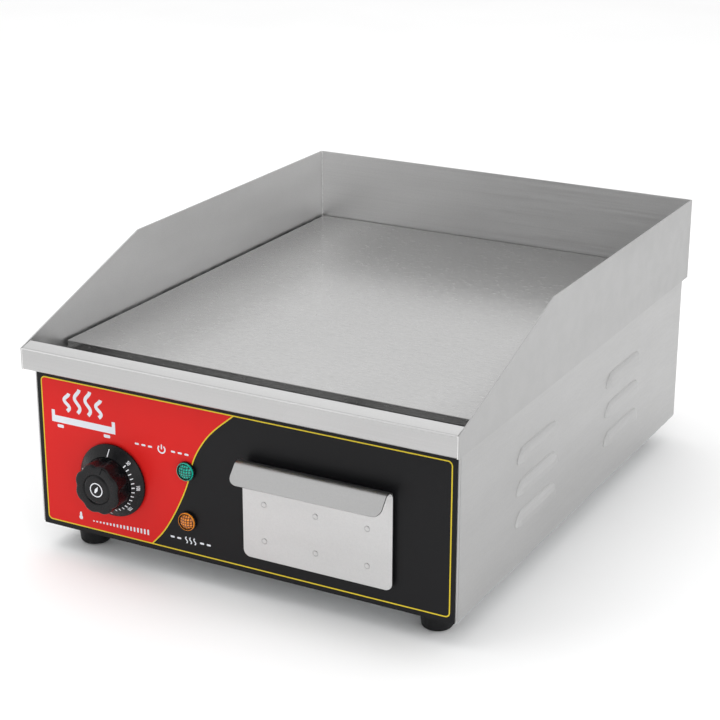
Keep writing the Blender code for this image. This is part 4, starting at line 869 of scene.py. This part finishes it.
bm = bmesh.new()
for side in (-1, 1):
    rows = []
    for i in range(SEAM_ROWS + 1):
        r = (0.95 + 0.12 * math.sin(i * 1.9) + 0.05 * math.sin(i * 0.7)) * MM
        end = 0.5 if i in (0, SEAM_ROWS) else 1
        rows.append((seam_low + (seam_high - seam_low) * i / SEAM_ROWS, r * end))
    bead(bm, side * 178.8 * MM, low("guard_rear").y + 0.1 * MM, rows, 10)
piece("guard_corner_welds", bm, WELD, "casing")

# ---------------------------------------------------------------- drawer

FACE_SHEET = 1.2 * MM
FACE_STAND = 3.0 * MM       # the face stands this far in front of the label
FACE_CORNER = 5.5 * MM
LIP_BEND = 7 * MM
LIP_TURN = math.radians(139)
LIP_LENGTH = 14 * MM
LIP_CORNER = 6.5 * MM
SPOT_X = (25.0, 67.0, 108.3)    # spot welds, in millimetres on the panel
SPOT_Z = (59.5, 31.0)

face_left, face_right = low("drawer_front").x, high("drawer_front").x
face_low = low("drawer_front").z
face_y = FRONT_Y - FACE_STAND
curl_z = high("drawer_front").z - LIP_BEND


def pull_in(distance, radius):
    """How far a round corner lies inside its square one, at a distance from the edge."""
    return radius - math.sqrt(radius ** 2 - (radius - distance) ** 2) if distance < radius else 0


def eased(i):
    """Steps from 0 to 1 that start small, for eight rows round a corner."""
    return 1 - math.cos(math.pi / 2 * i / 8)


rows = []
for i in range(9):
    rise = FACE_CORNER * eased(i)
    pull = pull_in(rise, FACE_CORNER)
    rows.append((face_left + pull, face_right - pull, face_y, face_low + rise))
corner_top = face_low + FACE_CORNER
for i in range(1, 9):
    rows.append((face_left, face_right, face_y, corner_top + (curl_z - corner_top) * i / 9))
for i in range(21):
    a = LIP_TURN * i / 20
    rows.append((face_left, face_right, face_y - LIP_BEND + LIP_BEND * math.cos(a),
                 curl_z + LIP_BEND * math.sin(a)))
lip_y, lip_z = rows[-1][2:]
for i in range(8, -1, -1):
    rise = LIP_CORNER * eased(i)
    run = LIP_LENGTH - rise
    pull = pull_in(rise, LIP_CORNER)
    rows.append((face_left + pull, face_right - pull, lip_y - run * math.sin(LIP_TURN),
                 lip_z + run * math.cos(LIP_TURN)))
piece("drawer_face_sheet", bent(rows, 30, FACE_SHEET, -1), DRAWER, "drawer",
      ("drawer_front",), 50)

bm = bmesh.new()
for x in SPOT_X:
    for z in SPOT_Z:
        at = facing_front(x * MM, PANEL_LOW + z * MM, face_y - FACE_SHEET)
        rings = []
        for a in angles(28):
            lift = 0.24 + 0.12 * math.sin(a + 0.8)
            ring = []
            for b in angles(8):
                r = 1.95 + 0.42 * math.cos(b)
                point = Vector((r * math.sin(a), r * math.cos(a), lift * math.sin(b) - 0.01))
                ring.append(bm.verts.new(at @ (point * MM)))
            rings.append(ring)
        for one, two in zip(rings, rings[1:] + rings[:1]):
            bridge(bm, one, two)
piece("drawer_spot_welds", bm, SPOT, "drawer")

# ---------------------------------------------------------------- feet and gland, in millimetres

SCREW_HOLE = 2.3
GLAND_FLAT = 24             # across the flats of its hexagon
RIB_INNER = 9.9
RIB_SPAN = (6.8, 14.5)

for corner in CORNERS:
    node = f"foot_{corner}"
    bm = bmesh.new()
    top = high(node).z / MM
    rows = [(SCREW_HOLE, 9.0), (4.8, 9.0), (4.8, 0.5), (5.2, 0), *arc(8.7, 3.0, 3.0, -90, -8, 7),
            (13.1, top - 2.2), *arc(13.2, top - 0.6, 0.6, 0, 90, 4), (SCREW_HOLE, top), (SCREW_HOLE, 9.0)]
    revolve(bm, mm(rows), 64, Matrix.Translation((middle(node).x, middle(node).y, 0)))
    piece(f"rubber_{node}", bm, RUBBER, "casing", (node,))


def ribbed(r, h, a):
    """Fine grooves round the gland's dome nut."""
    if r < RIB_INNER * MM or not RIB_SPAN[0] * MM < h < RIB_SPAN[1] * MM:
        return r
    return r - 0.5 * MM * (0.5 + 0.5 * math.cos(18 * a)) ** 2


at = facing_back(middle("cable_gland").x, middle("cable_gland").z, high("body_shell").y)
bm = bmesh.new()
dome = [(4.2, -12), (8.0, -12), (8.0, 0.35), (9.4, 0.35), (9.4, 6.4), (9.7, 6.6), (10.0, 7.0), (10.0, 9.5),
        (10.0, 14.2), *arc(7.6, 15.5, 2.4, 0, 75, 6), (7.0, 18.3), (5.0, 18.2), (4.4, 17.6), (4.2, 17.0),
        (4.2, -12)]
revolve(bm, mm(dome), 108, at, ribbed)
hexagon = []
for h, less in ((0.35, 0.5), (0.9, 0), (5.8, 0), (6.3, 0.5)):
    r = GLAND_FLAT / math.sqrt(3) - less
    hexagon.append([bm.verts.new(at @ (Vector((r * math.sin(a), r * math.cos(a), h)) * MM))
                    for a in angles(6)])
skin(bm, hexagon)
piece("gland_body", bm, GLAND, "casing", ("cable_gland",))

# ---------------------------------------------------------------- floor, light, camera

bm = bmesh.new()
bmesh.ops.create_grid(bm, x_segments=2, y_segments=2, size=30)
ground = bpy.data.objects.new("floor", closed("floor", bm))
ground.location = (0, 0, -0.2 * MM)
bpy.context.scene.collection.objects.link(ground)
pale = Finish("floor_pale").set(Roughness=0.9, Specular_IOR_Level=0.1)
pale.colour(pale.ramp(pale.noise(3, 2), [(0.3, grey(0.93)), (0.7, grey(0.95))]))
ground.data.materials.append(pale.material)

world = bpy.data.worlds.new("studio")
bpy.context.scene.world = world
world.use_nodes = True
tree = world.node_tree
around = tree.nodes.new("ShaderNodeTexCoord").outputs["Generated"]

# Darker and brighter parts of the white studio: a direction, the cosines of its edge and core, a level.
STUDIO = (((-0.16, -0.91, 0.37), (0.87, 0.98), 0.15),
          ((-0.45, -0.15, 0.88), (0.78, 0.97), 0.78),
          ((-0.45, 0.54, 0.72), (0.92, 0.985), 1.35),
          ((-0.55, -0.82, 0.16), (0.90, 0.985), 1.35),
          ((0.48, -0.84, 0.25), (0.86, 0.98), 1.65))


def towards(direction, cosines, level):
    """One, changing to a level round one direction of the studio."""
    dot = tree.nodes.new("ShaderNodeVectorMath")
    dot.operation = "DOT_PRODUCT"
    dot.inputs[1].default_value = Vector(direction).normalized()
    tree.links.new(around, dot.inputs[0])
    part = tree.nodes.new("ShaderNodeMapRange")
    part.interpolation_type = "SMOOTHSTEP"
    for key, value in (("From Min", cosines[0]), ("From Max", cosines[1]), ("To Min", 1), ("To Max", level)):
        part.inputs[key].default_value = value
    tree.links.new(dot.outputs["Value"], part.inputs["Value"])
    return part.outputs["Result"]


room = towards(*STUDIO[0])
for patch in STUDIO[1:]:
    times = tree.nodes.new("ShaderNodeMath")
    times.operation = "MULTIPLY"
    tree.links.new(room, times.inputs[0])
    tree.links.new(towards(*patch), times.inputs[1])
    room = times.outputs[0]
# The camera sees plain white.
seen = tree.nodes.new("ShaderNodeLightPath").outputs["Is Camera Ray"]
both = tree.nodes.new("ShaderNodeMix")
both.data_type = "RGBA"
tree.links.new(seen, both.inputs["Factor"])
tree.links.new(room, both.inputs[6])
both.inputs[7].default_value = (1, 1, 1, 1)
sky = tree.nodes["Background"]
tree.links.new(both.outputs[2], sky.inputs["Color"])
sky.inputs["Strength"].default_value = 1.0

LIGHT_AIM = Vector((0, 0, 0.1))

for name, place, size, power in (("overhead", (-0.6, -0.4, 2.2), 1.8, 18.0),
                                 ("side", (2.0, -0.3, 1.0), 1.6, 8.0)):
    lamp = bpy.data.lights.new(name, "AREA")
    lamp.size = size
    lamp.energy = power
    holder = bpy.data.objects.new(name, lamp)
    holder.location = place
    holder.visible_glossy = False
    holder.rotation_mode = "QUATERNION"
    holder.rotation_quaternion = (LIGHT_AIM - Vector(place)).to_track_quat("-Z", "Y")
    bpy.context.scene.collection.objects.link(holder)

camera = bpy.data.cameras.new("camera")
camera.sensor_width = 36
camera.lens = 94.61
eye = bpy.data.objects.new("camera", camera)
eye.location = (0.66632, -1.27200, 0.63858)
eye.rotation_euler = [math.radians(a) for a in (69.9085, -0.1364, 28.3017)]
bpy.context.scene.collection.objects.link(eye)
bpy.context.scene.camera = eye
bpy.context.scene.view_settings.view_transform = "Standard"
